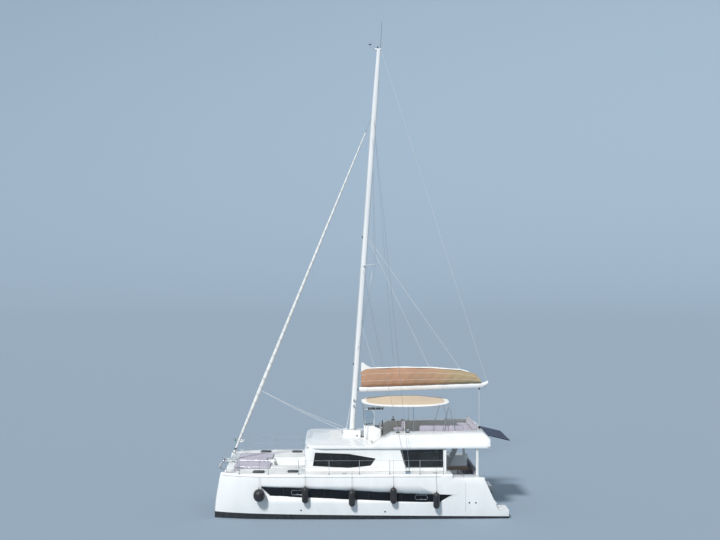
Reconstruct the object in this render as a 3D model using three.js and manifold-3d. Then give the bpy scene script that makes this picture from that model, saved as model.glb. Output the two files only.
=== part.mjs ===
// Sailing catamaran with a solid foredeck, a deckhouse and a flybridge, afloat with her sails stowed.
// Millimetres. +X points to the bow, +Y to port, +Z up.
// The origin is on the centreline amidships, at the height of the waterline.

import * as THREE from 'three';
import { mergeVertices } from 'three/addons/utils/BufferGeometryUtils.js';
import Module from 'manifold-3d';

const wasm = await Module();
wasm.setup();

// Driving dimensions of the boat
const SEAT = 0.3;
const SIDES = [['port', 1], ['starboard', -1]];

const HULL_Y = 2720;
const BOW_X = 6350;
const STERN_X = -6350;
const SHEER_Z = 1950;
const KNUCKLE_Z = 700;
const INNER_BREADTH = 770;
const KEEL_FLAT_Z = -450;
const DRAFT = 1200;

const FLOOR_Z = 1050;
const TUNNEL_Z = 780;
const FOREDECK_Z = SHEER_Z;
const PLATFORM_Z = 360;

const HOUSE_FRONT_X = 2450;
const HOUSE_AFT_X = -3700;
const HOUSE_Y = 2650;
const WALL = 60;
const HOUSE_TOP_Z = 2950;
const ROOF_Z = 3050;
const COAMING_Z = 3550;
const COCKPIT_AFT_X = -5250;
const COAMING_DECK_Z = 1780;

const MAST_FOOT = { x: 370, z: 3400 };
const MAST_TOP = { x: -860, z: 20800 };
const BOOM_Z = 5230;
const BOOM_LENGTH = 5950;
const HOUNDS_Z = 17600;

const RUDDER_X = -4950;
const RUDDER_TOP_Z = -340;
const LEG_X = -3300;
const LEG_TOP_Z = -460;
const PROP_Z = -860;

// Colours and finishes
const PAINT = {
  gelcoat: [0xf3f4f2, 0.3, 0.0],
  antifouling: [0x15171a, 0.8, 0.0],
  dark_glass: [0x11161c, 0.08, 0.0],
  clear_plastic: [0xcfe0ea, 0.1, 0.0],
  spar: [0xf5f5f3, 0.35, 0.2],
  steel: [0xc9ccd0, 0.25, 0.9],
  bronze: [0xb08a4a, 0.35, 0.9],
  tan_canvas: [0xb79b78, 0.9, 0.0],
  cushion: [0xb3aebc, 0.85, 0.0],
  sail: [0xeeeeea, 0.8, 0.0],
  rubber: [0x151515, 0.7, 0.0],
  solar: [0x16204a, 0.2, 0.1],
  teak: [0x9a6b3f, 0.6, 0.0],
  anchor: [0x9a9da0, 0.5, 0.7],
};

const boat = new THREE.Group();

// Names a sub-part and gives it its own material
function add(name, geometry, paint) {
  const [color, roughness, metalness] = PAINT[paint];
  const mesh = new THREE.Mesh(geometry, new THREE.MeshStandardMaterial({ color, roughness, metalness }));
  mesh.name = name;
  boat.add(mesh);
  return mesh;
}

// A closed three.js geometry as a solid that can be joined and cut
function solid(geometry) {
  const plain = geometry.index ? geometry.toNonIndexed() : geometry.clone();
  plain.deleteAttribute('normal');
  plain.deleteAttribute('uv');
  const merged = mergeVertices(plain, 0.01);
  return new wasm.Manifold(new wasm.Mesh({
    numProp: 3,
    vertProperties: new Float32Array(merged.attributes.position.array),
    triVerts: new Uint32Array(merged.index.array),
  }));
}

// A solid back to a three.js geometry
function shape(body) {
  const mesh = body.getMesh();
  const geometry = new THREE.BufferGeometry();
  geometry.setAttribute('position', new THREE.BufferAttribute(new Float32Array(mesh.vertProperties), 3));
  geometry.setIndex(new THREE.BufferAttribute(new Uint32Array(mesh.triVerts), 1));
  return geometry;
}

function join(...bodies) {
  return bodies.reduce((whole, body) => whole.add(body));
}

function cut(body, ...cutters) {
  return cutters.reduce((rest, cutter) => rest.subtract(cutter), body);
}

function block(x0, x1, y0, y1, z0, z1) {
  const box = new THREE.BoxGeometry(x1 - x0, y1 - y0, z1 - z0);
  return solid(box.translate((x0 + x1) / 2, (y0 + y1) / 2, (z0 + z1) / 2));
}

// A round bar from one point to another, with its own radius at each end
function bar(from, to, radius, endRadius = radius, sides = 8) {
  const a = new THREE.Vector3(...from);
  const b = new THREE.Vector3(...to);
  const rod = new THREE.CylinderGeometry(endRadius, radius, a.distanceTo(b), sides);
  const turn = new THREE.Quaternion().setFromUnitVectors(
    new THREE.Vector3(0, 1, 0), b.clone().sub(a).normalize());
  rod.applyQuaternion(turn);
  rod.translate((a.x + b.x) / 2, (a.y + b.y) / 2, (a.z + b.z) / 2);
  return solid(rod);
}

// A tube along a smooth curve through the points
function bend(points, radius, steps, sides = 8) {
  const curve = new THREE.CatmullRomCurve3(points.map((point) => new THREE.Vector3(...point)));
  const round = new THREE.Shape().absarc(0, 0, radius, 0, 2 * Math.PI);
  return solid(new THREE.ExtrudeGeometry(round, { steps, extrudePath: curve, curveSegments: sides / 2 }));
}

// A tube with sharp bends: straight bars with a ball at each bend
function pipe(points, radius, sides = 6) {
  const pieces = [];
  for (let i = 0; i + 1 < points.length; i++) pieces.push(bar(points[i], points[i + 1], radius, radius, sides));
  for (const bend of points.slice(1, -1)) {
    const ball = new THREE.SphereGeometry(radius * 1.02, sides, 4);
    pieces.push(solid(ball.translate(...bend)));
  }
  return join(...pieces);
}

function outline(points) {
  const figure = new THREE.Shape();
  points.forEach(([u, v], i) => (i ? figure.lineTo(u, v) : figure.moveTo(u, v)));
  figure.closePath();
  return figure;
}

// An outline in X and Y, raised from z0 to z1
function plate(points, z0, z1) {
  const raised = new THREE.ExtrudeGeometry(outline(points), { depth: z1 - z0, bevelEnabled: false });
  return solid(raised.translate(0, 0, z0));
}

// An outline in X and Z, taken across from y0 to y1
function profile(points, y0, y1) {
  const wide = new THREE.ExtrudeGeometry(outline(points), { depth: y1 - y0, bevelEnabled: false });
  return solid(wide.rotateX(Math.PI / 2).translate(0, y1, 0));
}

// An outline in Y and Z, taken along from x0 to x1
function section(points, x0, x1) {
  const long = new THREE.ExtrudeGeometry(outline(points), { depth: x1 - x0, bevelEnabled: false });
  const turn = new THREE.Matrix4().makeBasis(
    new THREE.Vector3(0, 1, 0), new THREE.Vector3(0, 0, 1), new THREE.Vector3(1, 0, 0));
  return solid(long.applyMatrix4(turn).translate(x0, 0, 0));
}

// A rectangle with round corners, as the points of an outline
function rounded(u0, u1, v0, v1, radius, steps = 3) {
  const corners = [[u1 - radius, v0 + radius, -90], [u1 - radius, v1 - radius, 0],
    [u0 + radius, v1 - radius, 90], [u0 + radius, v0 + radius, 180]];
  const points = [];
  for (const [u, v, start] of corners) {
    for (let k = 0; k <= steps; k++) {
      const turn = THREE.MathUtils.degToRad(start + (90 * k) / steps);
      points.push([u + radius * Math.cos(turn), v + radius * Math.sin(turn)]);
    }
  }
  return points;
}

// An outline with each of its edges moved inwards by a gap
function inset(points, gap) {
  const count = points.length;
  const area = points.reduce((sum, [u, v], i) => {
    const [nextU, nextV] = points[(i + 1) % count];
    return sum + u * nextV - nextU * v;
  }, 0);
  const inward = (a, b) => {
    const length = Math.hypot(b[0] - a[0], b[1] - a[1]) * Math.sign(area);
    return [-(b[1] - a[1]) / length, (b[0] - a[0]) / length];
  };
  return points.map((point, i) => {
    const before = inward(points[(i + count - 1) % count], point);
    const after = inward(point, points[(i + 1) % count]);
    const share = gap / (1 + before[0] * after[0] + before[1] * after[1]);
    return [point[0] + (before[0] + after[0]) * share, point[1] + (before[1] + after[1]) * share];
  });
}

// A skin over rings of points that are all as long, closed at both ends
function loft(rings) {
  const count = rings[0].length;
  const positions = rings.flat(2);
  const faces = [];
  for (let r = 0; r + 1 < rings.length; r++) {
    for (let k = 0; k < count; k++) {
      const a = r * count + k;
      const b = r * count + ((k + 1) % count);
      faces.push(a, b, a + count, b, b + count, a + count);
    }
  }
  const last = (rings.length - 1) * count;
  for (let k = 1; k + 1 < count; k++) {
    faces.push(0, k + 1, k);
    faces.push(last, last + k, last + k + 1);
  }
  const geometry = new THREE.BufferGeometry();
  geometry.setAttribute('position', new THREE.Float32BufferAttribute(positions, 3));
  geometry.setIndex(faces);
  const body = solid(geometry);
  if (body.volume() > 0) return body;
  geometry.setIndex(faces.reverse());
  return solid(geometry);
}

// Hull sections from bow to stern. flat: half the flat on the keel line; wl: half-breadth at the
// waterline; out: half-breadth at the outer deck edge; inn: at the inner deck edge;
// lean: how much of the stem's rake the section takes.
const HULL_SECTIONS = [
  { x: 6350, keel: -120, flat: 6, wl: 22, out: 60, inn: 60, lean: 1.0 },
  { x: 6150, keel: -330, flat: 20, wl: 90, out: 190, inn: 170, lean: 0.95 },
  { x: 5700, keel: -400, flat: 40, wl: 200, out: 400, inn: 330, lean: 0.6 },
  { x: 4900, keel: -440, flat: 80, wl: 350, out: 590, inn: 520, lean: 0.2 },
  { x: 3700, keel: -450, flat: 140, wl: 470, out: 710, inn: 690, lean: 0 },
  { x: 2000, keel: -450, flat: 170, wl: 540, out: 765, inn: INNER_BREADTH, lean: 0 },
  { x: 0, keel: -450, flat: 170, wl: 565, out: 780, inn: INNER_BREADTH, lean: 0 },
  { x: -2000, keel: -450, flat: 170, wl: 560, out: 780, inn: INNER_BREADTH, lean: 0 },
  { x: -3700, keel: -400, flat: 160, wl: 545, out: 775, inn: INNER_BREADTH, lean: 0 },
  { x: -5000, keel: -290, flat: 150, wl: 530, out: 750, inn: 750, lean: 0 },
  { x: -6350, keel: -110, flat: 140, wl: 505, out: 700, inn: 700, lean: 0 },
];
const STEM_RAKE = 260;
const BILGE_STEPS = 5;
const HULL_STATIONS = [6350, 6300, 6200, 6050, 5850, 5600, 5250, 4850, 4350, 3700, 2900, 2000, 900, -200, -1300,
  -2400, -3400, -4300, -5000, -5700, -6350];

// A hull section anywhere, on a smooth curve through the rows of the table
const sternFirst = [...HULL_SECTIONS].reverse();
const between = new THREE.CubicInterpolant(sternFirst.map((row) => row.x),
  sternFirst.flatMap(({ keel, flat, wl, out, inn, lean }) => [keel, flat, wl, out, inn, lean]), 6);
function hullRow(x) {
  const [keel, flat, wl, out, inn, lean] = between.evaluate(x);
  return { x, keel: Math.max(keel, KEEL_FLAT_Z), flat, wl, out, inn, lean: Math.max(lean, 0) };
}
const HULL_ROWS = HULL_STATIONS.map(hullRow);

function hullRing({ x, keel, flat, wl, out, inn, lean }) {
  const upper = [[350, 0.38], [KNUCKLE_Z, 0.64], [1100, 0.83], [1500, 0.94], [SHEER_Z - 50, 1]];
  const outer = [];
  for (let k = 0; k <= BILGE_STEPS; k++) {
    const turn = (k / BILGE_STEPS) * Math.PI / 2;
    outer.push([flat + (wl - flat) * Math.sin(turn), keel * Math.cos(turn)]);
  }
  for (const [z, share] of upper) outer.push([wl + (out - wl) * share, z]);
  outer.push([out - Math.min(45, out / 3), SHEER_Z]);
  const inner = outer.slice(0, BILGE_STEPS + 1).map(([y, z]) => [-y, z]);
  inner.push([-wl - (inn - wl) * 0.25, KNUCKLE_Z - 150], [-inn, KNUCKLE_Z + 50], [-inn, SHEER_Z]);
  return [...outer, ...inner.reverse()].map(([y, z]) => {
    const rake = z > 250 ? -STEM_RAKE * ((z - 250) / (SHEER_Z - 250)) ** 1.6 : 0;
    return [x + rake * lean, y, z];
  });
}

const hullForm = loft(HULL_ROWS.map(hullRing));
const STEP_X = [-5120, -5380, -5640];
const WINDOW_BAND = [[4290, 1430], [3000, 1400], [480, 1280], [-2400, 1120], [-3860, 1070],
  [-3340, 750], [-1500, 800], [480, 895], [2500, 985], [3920, 1060]];
const WINDOW_DEPTH = 22;

// One hull, mirrored for the starboard side: cut down at the stern to steps and a boarding platform
function hullBody(side) {
  const slope = profile([[COCKPIT_AFT_X - 40, SHEER_Z + 200], [COCKPIT_AFT_X - 40, 1700], [-5900, PLATFORM_Z],
    [STERN_X - 100, PLATFORM_Z], [STERN_X - 100, SHEER_Z + 200]], -900, 900);
  const coaming = block(STERN_X - 100, HOUSE_AFT_X - 200, -900, 900, COAMING_DECK_Z, SHEER_Z + 100);
  const cockpit = block(COCKPIT_AFT_X + 100, HOUSE_AFT_X - SEAT, -900, -170, FLOOR_Z, SHEER_Z + 100);
  const steps = STEP_X.map((x, i) =>
    block(STERN_X - 100, x + 1, -900, 420, FLOOR_Z - 230 * i, SHEER_Z + 100));
  const pads = [
    bar([RUDDER_X, 0, -200], [RUDDER_X, 0, RUDDER_TOP_Z], 95, 95, 16),
    block(LEG_X - 190, LEG_X + 190, -90, 90, LEG_TOP_Z, -200),
  ];
  let hull = cut(join(hullForm, ...pads), slope, coaming, cockpit, ...steps);
  if (side < 0) hull = hull.mirror([0, 1, 0]);
  return hull.translate([0, side * HULL_Y, 0]);
}

// All that lies outside the hull's side less a depth, within the outline of the window band
function windowBand(side, hull, depth, gap) {
  const y = side > 0 ? [HULL_Y, HULL_Y + 900] : [-HULL_Y - 900, -HULL_Y];
  return cut(profile(inset(WINDOW_BAND, gap), y[0], y[1]), hull.translate([0, -side * depth, 0]));
}

const hulls = {};
for (const [name, side] of SIDES) {
  const whole = hullBody(side);
  hulls[name] = cut(whole, windowBand(side, whole, WINDOW_DEPTH + SEAT, 0));
  add(`hull_${name}`, shape(hulls[name]), 'gelcoat');
  // The dark band of hull windows, let into the outer side
  add(`hull_window_${name}`, shape(windowBand(side, whole, WINDOW_DEPTH, SEAT).intersect(whole)), 'dark_glass');
}
// What is fitted between the hulls is cut back from them by a seat's gap
const hullCutters = SIDES.map(([name, side]) => {
  const moved = hulls[name].translate([0, -side * SEAT, 0]);
  return moved.add(moved.translate([0, 0, 40]));
});

// Stub keels: flat top under the hull, tapered sides, a round nose
function keel(side) {
  const top = KEEL_FLAT_Z - SEAT;
  const rings = [[top, 1250, -1650, 120], [-900, 1080, -1560, 95], [-DRAFT, 950, -1480, 55]].map(
    ([z, nose, tail, half]) => {
      const points = [];
      const steps = 10;
      for (let k = 0; k < steps; k++) {
        const along = k / (steps - 1);
        points.push([nose + (tail - nose) * along ** 1.5, half * Math.sqrt(Math.sin(Math.PI * along ** 0.7) + 0.02), z]);
      }
      return [...points, ...points.slice(1, -1).reverse().map(([x, y, h]) => [x, -y, h])];
    });
  return loft(rings.reverse()).translate([0, side * HULL_Y, 0]);
}

// A spade rudder: a blade on a round stock that ends in the bearing under the hull
function rudder(side) {
  const blade = loft([[-1080, 170, 26], [-380, 250, 42]].map(([z, chord, half]) => {
    const points = [[chord * 0.42, 0], [chord * 0.3, half * 0.7], [0, half], [-chord * 0.5, half * 0.6],
      [-chord, 5], [-chord, -5], [-chord * 0.5, -half * 0.6], [0, -half], [chord * 0.3, -half * 0.7]];
    return points.map(([x, y]) => [RUDDER_X + x, y, z]);
  }));
  const stock = bar([RUDDER_X, 0, -500], [RUDDER_X, 0, RUDDER_TOP_Z - SEAT], 34, 34, 12);
  return join(blade, stock).translate([0, side * HULL_Y, 0]);
}

// A saildrive leg with the gear housing that carries the propeller on its after end
const HUB_X = LEG_X - 235;
function driveLeg(side) {
  const strut = loft([[PROP_Z, 120, 26], [LEG_TOP_Z - SEAT, 170, 40]].map(([z, chord, half]) => {
    const points = [[chord, 0], [chord * 0.6, half * 0.8], [0, half], [-chord * 0.8, half * 0.4],
      [-chord, 0], [-chord * 0.8, -half * 0.4], [0, -half], [chord * 0.6, -half * 0.8]];
    return points.map(([x, y]) => [LEG_X + x, y, z]);
  }));
  const outlineOfHousing = [[0, 235], [40, 215], [62, 150], [66, 0], [60, -235], [0, -235]];
  const housing = new THREE.LatheGeometry(outlineOfHousing.reverse().map(([r, x]) => new THREE.Vector2(r, x)), 14);
  const pod = solid(housing.rotateZ(-Math.PI / 2).translate(LEG_X, 0, PROP_Z));
  return join(strut, pod).translate([0, side * HULL_Y, 0]);
}

// A three-bladed propeller on its hub, behind the gear housing
function propeller(side) {
  const start = HUB_X - SEAT;
  const hub = bar([start, 0, PROP_Z], [start - 110, 0, PROP_Z], 52, 30, 14);
  const blades = [0, 120, 240].map((angle) => {
    const blade = loft([[30, 34, 12, 52], [130, 72, 7, 34], [210, 40, 4, 24]].map(([r, half, thick, pitch]) => {
      const turn = THREE.MathUtils.degToRad(pitch);
      return [[-half, 0], [0, -thick], [half, 0], [0, thick]].map(([u, v]) => [
        u * Math.sin(turn) + v * Math.cos(turn), u * Math.cos(turn) - v * Math.sin(turn), r]);
    }));
    return blade.rotate([angle, 0, 0]).translate([start - 55, 0, PROP_Z]);
  });
  return join(hub, ...blades).translate([0, side * HULL_Y, 0]);
}

for (const [name, side] of SIDES) {
  add(`keel_${name}`, shape(keel(side)), 'antifouling');
  add(`rudder_${name}`, shape(rudder(side)), 'antifouling');
  add(`drive_leg_${name}`, shape(driveLeg(side)), 'antifouling');
  add(`propeller_${name}`, shape(propeller(side)), 'bronze');
}

// The bridge deck between the hulls: the floor of saloon and cockpit, with the seat across its after end
const BRIDGE_Y = 2300;
function bridgeDeck() {
  const deck = block(COCKPIT_AFT_X, HOUSE_FRONT_X, -BRIDGE_Y, BRIDGE_Y, TUNNEL_Z, FLOOR_Z);
  const bench = block(COCKPIT_AFT_X, COCKPIT_AFT_X + 520, -1500, 1500, FLOOR_Z - 10, FLOOR_Z + 330);
  const back = profile([[COCKPIT_AFT_X, FLOOR_Z], [COCKPIT_AFT_X, FLOOR_Z + 700],
    [COCKPIT_AFT_X + 70, FLOOR_Z + 700], [COCKPIT_AFT_X + 130, FLOOR_Z]], -1500, 1500);
  return cut(join(deck, bench, back), ...hullCutters);
}
add('bridge_deck', shape(bridgeDeck()), 'gelcoat');

// The solid foredeck from bow to bow, with the forward cockpit sunk into it ahead of the deckhouse
const FOREDECK_FRONT_X = 5980;
const WELL = { x0: HOUSE_FRONT_X, x1: 3950, y: 1050, z: 1350 };
function foredeck() {
  const body = profile([[HOUSE_FRONT_X + SEAT, TUNNEL_Z], [3800, TUNNEL_Z], [4500, 1480], [5750, 1620],
    [FOREDECK_FRONT_X, 1700], [FOREDECK_FRONT_X, FOREDECK_Z - 40], [5930, FOREDECK_Z],
    [HOUSE_FRONT_X + SEAT, FOREDECK_Z]],
  -HULL_Y, HULL_Y);
  const well = block(WELL.x0 - 10, WELL.x1, -WELL.y, WELL.y, WELL.z, FOREDECK_Z + 100);
  const step = block(WELL.x1 - 10, WELL.x1 + 280, -450, 450, WELL.z + 325, FOREDECK_Z + 100);
  return cut(body, well, step, ...hullCutters);
}
add('foredeck', shape(foredeck()), 'gelcoat');

// Deckhouse: walls with their window openings, glass in the openings, a bulkhead aft
const SIDE_WINDOWS = {
  forward: [[2010, 2760], [2100, 2200], [550, 2110], [-400, 2210], [-610, 2500], [550, 2700]],
  aft: [[-1710, 2860], [-1920, 2110], [-3560, 2110], [-3560, 2880]],
};
const HOUSE_SECTION = [[-HOUSE_Y, SHEER_Z + SEAT], [-1950 + SEAT, SHEER_Z + SEAT], [-1950 + SEAT, FLOOR_Z + SEAT],
  [1950 - SEAT, FLOOR_Z + SEAT], [1950 - SEAT, SHEER_Z + SEAT], [HOUSE_Y, SHEER_Z + SEAT],
  [HOUSE_Y, HOUSE_TOP_Z - SEAT], [-HOUSE_Y, HOUSE_TOP_Z - SEAT]];
const DOOR = { half: 380, bottom: WELL.z + 30, top: 2860 };
const FRONT_PANES = [rounded(480, 1520, 2130, 2830, 90), rounded(1580, 2480, 2130, 2830, 90)];
const AFT_OPENING = { half: 900, bottom: FLOOR_Z + 40, top: 2880 };

function sideWall(side) {
  const y = side > 0 ? HOUSE_Y - WALL : -HOUSE_Y;
  const wall = block(HOUSE_AFT_X + WALL + SEAT, HOUSE_FRONT_X - WALL - SEAT, y, y + WALL,
    SHEER_Z + SEAT, HOUSE_TOP_Z - SEAT);
  return cut(wall, ...Object.values(SIDE_WINDOWS).map((points) => profile(points, y - 10, y + WALL + 10)));
}

// One bonded sheet of tinted glass behind both openings of a side
function sideGlass(side) {
  const y = side > 0 ? HOUSE_Y - WALL - SEAT - 10 : -HOUSE_Y + WALL + SEAT;
  return profile([[2160, 2060], [2160, 2800], [600, 2780], [-1500, 2900], [-3600, 2915], [-3600, 2060]], y, y + 10);
}

function frontWall() {
  const wall = section(HOUSE_SECTION, HOUSE_FRONT_X - WALL, HOUSE_FRONT_X);
  const openings = FRONT_PANES.flatMap((points) => [points, points.map(([y, z]) => [-y, z]).reverse()]);
  return cut(wall, block(0, 5000, -DOOR.half, DOOR.half, DOOR.bottom, DOOR.top),
    ...openings.map((points) => section(points, 2000, 3000)));
}

for (const [name, side] of SIDES) {
  add(`house_side_${name}`, shape(sideWall(side)), 'gelcoat');
  add(`side_glass_${name}`, shape(sideGlass(side)), 'dark_glass');
}
add('house_front', shape(frontWall()), 'gelcoat');

// One bonded sheet of glass behind each pair of front panes
for (const [name, side] of SIDES) {
  const span = side > 0 ? [440, 2560] : [-2560, -440];
  const x = HOUSE_FRONT_X - WALL - SEAT;
  add(`windscreen_${name}`, shape(section(rounded(span[0], span[1], 2090, 2870, 100), x - 10, x)), 'dark_glass');
}

// The forward door, with a pane in its upper half, on two hinges at its starboard edge
const DOOR_GAP = 6;
const HINGE = { radius: 12, x: HOUSE_FRONT_X + 12 + SEAT, y: -DOOR.half - 10, heights: [1560, 2640] };
function forwardDoor() {
  const leaf = block(HOUSE_FRONT_X - 48, HOUSE_FRONT_X - 8, -DOOR.half + DOOR_GAP, DOOR.half - DOOR_GAP,
    DOOR.bottom + DOOR_GAP, DOOR.top - DOOR_GAP);
  const handle = pipe([[HOUSE_FRONT_X - 20, 300, 2000], [HOUSE_FRONT_X + 30, 300, 2000],
    [HOUSE_FRONT_X + 30, 300, 2160], [HOUSE_FRONT_X - 20, 300, 2160]], 9);
  const recess = block(HOUSE_FRONT_X - 22, HOUSE_FRONT_X, -230, 230, 2080, 2720);
  const hinges = HINGE.heights.map((z) => join(bar([HINGE.x, HINGE.y, z - 50], [HINGE.x, HINGE.y, z + 50], HINGE.radius),
    block(HOUSE_FRONT_X - 20, HOUSE_FRONT_X + 8, -DOOR.half + DOOR_GAP, -DOOR.half + 40, z - 50, z + 50),
    block(HOUSE_FRONT_X + 1, HOUSE_FRONT_X + 8, HINGE.y, -DOOR.half + 40, z - 50, z + 50)));
  return join(cut(leaf, recess), handle, ...hinges);
}
add('forward_door', shape(forwardDoor()), 'dark_glass');

function aftBulkhead() {
  const wall = section(HOUSE_SECTION, HOUSE_AFT_X, HOUSE_AFT_X + WALL);
  const opening = block(-5000, 0, -AFT_OPENING.half, AFT_OPENING.half, AFT_OPENING.bottom, AFT_OPENING.top);
  const panes = [rounded(1010, 2480, 2080, 2830, 80), rounded(-2480, -1010, 2080, 2830, 80)];
  const rail = block(HOUSE_AFT_X - 46, HOUSE_AFT_X + 1, -980, 1000, AFT_OPENING.top + 4, AFT_OPENING.top + 34);
  const sill = block(HOUSE_AFT_X - 46, HOUSE_AFT_X + 1, -980, 1000, AFT_OPENING.bottom - 34, AFT_OPENING.bottom - SEAT);
  return join(cut(wall, opening, ...panes.map((points) => section(points, -4000, -3000))), rail, sill);
}
add('aft_bulkhead', shape(aftBulkhead()), 'gelcoat');

// Aft doors: the port leaf stands still in the opening, the starboard leaf slides behind it
function doorLeaf(x, y0, y1) {
  const frame = block(x, x + 30, y0, y1, AFT_OPENING.bottom, AFT_OPENING.top);
  return cut(frame, block(x - 1, x + 12, y0 + 60, y1 - 60, AFT_OPENING.bottom + 60, AFT_OPENING.top - 60));
}
add('fixed_door_leaf', shape(doorLeaf(HOUSE_AFT_X + 15, SEAT, AFT_OPENING.half - SEAT)), 'dark_glass');
add('sliding_door', shape(doorLeaf(HOUSE_AFT_X - 38, -AFT_OPENING.half - 40, 40)), 'dark_glass');

// Saloon furniture that shows through the glass
function saloonSofa() {
  const base = block(-3300, -900, 1250, 1900, FLOOR_Z + SEAT, FLOOR_Z + 420);
  const back = block(-3300, -900, 1720, 1900, FLOOR_Z + 400, FLOOR_Z + 850);
  const wing = block(-3300, -2700, 350, 1260, FLOOR_Z + SEAT, FLOOR_Z + 420);
  return join(base, back, wing);
}
function pedestalTable(x, y, length, width, height, floor) {
  return join(block(x - length / 2, x + length / 2, y - width / 2, y + width / 2, floor + height - 40, floor + height),
    bar([x, y, floor + SEAT], [x, y, floor + height - 20], 60, 60, 12),
    bar([x, y, floor + SEAT], [x, y, floor + 30], 200, 180, 16));
}
add('saloon_sofa', shape(saloonSofa()), 'cushion');
add('cockpit_table', shape(pedestalTable(-4450, 500, 900, 800, 680, FLOOR_Z)), 'teak');

// Roof moulding: the coachroof forward, the flybridge well with wide coamings aft, and the two
// pillars that carry it over the cockpit
const CROWN = { aft: -450, rise: 110 };
const WELL_UP = { x0: -5250, x1: -1150, y: 1750 };
const STAIR = { x0: -5100, x1: -4050, landing: -4400, y0: -2480, sill: -1910, y1: -1740 };
function roof() {
  const plan = [[HOUSE_FRONT_X + 20, 0], [HOUSE_FRONT_X + 15, 1300], [HOUSE_FRONT_X - 10, 2150], [2370, 2430],
    [2250, 2600], [2050, 2690], [1700, 2735], [-5450, 2750], [-5580, 2700], [-5640, 2560]];
  const slab = plate([...plan, ...plan.slice(1).reverse().map(([x, y]) => [x, -y])], HOUSE_TOP_Z, ROOF_Z);
  const crown = section([[-2400, ROOF_Z - 20], [2400, ROOF_Z - 20], [1500, ROOF_Z + CROWN.rise],
    [-1500, ROOF_Z + CROWN.rise]], CROWN.aft, 2150);
  const nose = profile([[1500, ROOF_Z + 60], [2500, ROOF_Z + 60], [2500, ROOF_Z + 300], [1400, ROOF_Z + 300]],
    -3000, 3000);
  const plinth = plate(rounded(-60, 780, -420, 420, 120), ROOF_Z, MAST_FOOT.z - SEAT);
  const coaming = [];
  for (const [, side] of SIDES) {
    const low = side * 2750;
    const high = side * 2680;
    const inner = side * WELL_UP.y;
    const ring = (x, top) => [[low, ROOF_Z - 30], [high, top], [inner, top + 40], [inner, ROOF_Z - 30]]
      .map(([y, z]) => [x, y, z]);
    const rings = [ring(-500, ROOF_Z - 10), ring(-1350, COAMING_Z - 40), ring(-5350, COAMING_Z), ring(-5620, 3330)];
    coaming.push(loft(side > 0 ? rings.map((r) => [...r].reverse()) : rings));
  }
  const aft = profile([[-5640, ROOF_Z - 30], [-5640, 3330], [-5560, 3420], [WELL_UP.x0, 3420], [WELL_UP.x0, ROOF_Z - 30]],
    -1800, 1800);
  const stair = join(block(STAIR.x0, STAIR.x1, STAIR.y0, STAIR.sill, 2000, 4000),
    block(STAIR.x0, STAIR.landing, STAIR.sill - 10, STAIR.y1, 2000, 4000));
  const pillars = SIDES.map(([, side]) => block(-5110, -5000, side * 2600 - 40, side * 2600 + 40,
    COAMING_DECK_Z + SEAT, HOUSE_TOP_Z + 10));
  const whole = join(slab, cut(crown, nose), plinth, ...coaming, aft, ...pillars);
  return cut(whole, stair);
}
const roofBody = roof();
add('roof', shape(roofBody), 'gelcoat');

// Stairs from the cockpit to the flybridge, through the opening in the starboard coaming
function stairs() {
  const foot = [-3980, FLOOR_Z + SEAT];
  const head = [-5040, ROOF_Z - 60];
  const [left, right] = [STAIR.y0 + 60, STAIR.y1 - 120];
  const stringers = [left, right - 35].map((y) =>
    profile([foot, [foot[0] - 190, foot[1]], [head[0] - 20, head[1]], [head[0] + 160, head[1]]], y, y + 35));
  const treads = [];
  const count = 7;
  for (let k = 1; k <= count; k++) {
    const share = k / (count + 1);
    const x = foot[0] - 95 + (head[0] + 70 - (foot[0] - 95)) * share;
    const z = foot[1] + (head[1] - foot[1]) * share;
    treads.push(block(x - 105, x + 105, left, right, z - 18, z + 18));
  }
  return join(...stringers, ...treads);
}
add('flybridge_stairs', shape(stairs()), 'gelcoat');

// Helm: a console that steps up onto the crown of the roof, a clear windshield round its front,
// a wheel on its after face and a seat behind it
const HELM = { y: 900, half: 420, front: -150, back: -900, top: 3720, dashRun: 340, dashDrop: 130,
  wheelZ: 3600, wheelRadius: 330, seatBehind: 1040 };
function helmConsole() {
  const step = CROWN.aft - SEAT;
  return profile([[HELM.back, ROOF_Z + SEAT], [step, ROOF_Z + SEAT], [step, ROOF_Z + CROWN.rise + SEAT],
    [HELM.front, ROOF_Z + CROWN.rise + SEAT], [HELM.front, HELM.top], [HELM.back + HELM.dashRun, HELM.top],
    [HELM.back, HELM.top - HELM.dashDrop]], HELM.y - HELM.half, HELM.y + HELM.half);
}
add('helm_console', shape(helmConsole()), 'gelcoat');

// The windshield: a bent sheet with round upper corners, open aft
const SCREEN = { top: 4480, aft: -600, thick: 12, radius: 180 };
function windshield() {
  const [front, half] = [HELM.front - 20, HELM.half - 20];
  const around = (inset) => rounded(SCREEN.aft - 300, front - inset, HELM.y - half + inset, HELM.y + half - inset, 150);
  const wall = cut(plate(around(0), HELM.top + SEAT, SCREEN.top), plate(around(SCREEN.thick), HELM.top, SCREEN.top + 10));
  const side = rounded(SCREEN.aft, front + 300, HELM.top - 300, SCREEN.top, SCREEN.radius);
  return wall.intersect(profile(side, HELM.y - half - 10, HELM.y + half + 10));
}
add('windshield', shape(windshield()), 'clear_plastic');

function helmWheel() {
  const x = HELM.back - 90;
  const rim = new THREE.TorusGeometry(HELM.wheelRadius, 15, 6, 26);
  const ring = solid(rim.rotateY(Math.PI / 2).translate(x, HELM.y, HELM.wheelZ));
  const hub = bar([HELM.back - SEAT, HELM.y, HELM.wheelZ], [x - 20, HELM.y, HELM.wheelZ], 38, 45, 14);
  const spokes = [90, 210, 330].map((angle) => {
    const turn = THREE.MathUtils.degToRad(angle);
    return bar([x, HELM.y, HELM.wheelZ],
      [x, HELM.y + HELM.wheelRadius * Math.cos(turn), HELM.wheelZ + HELM.wheelRadius * Math.sin(turn)], 12);
  });
  return join(ring, hub, ...spokes);
}
add('helm_wheel', shape(helmWheel()), 'steel');

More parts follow.
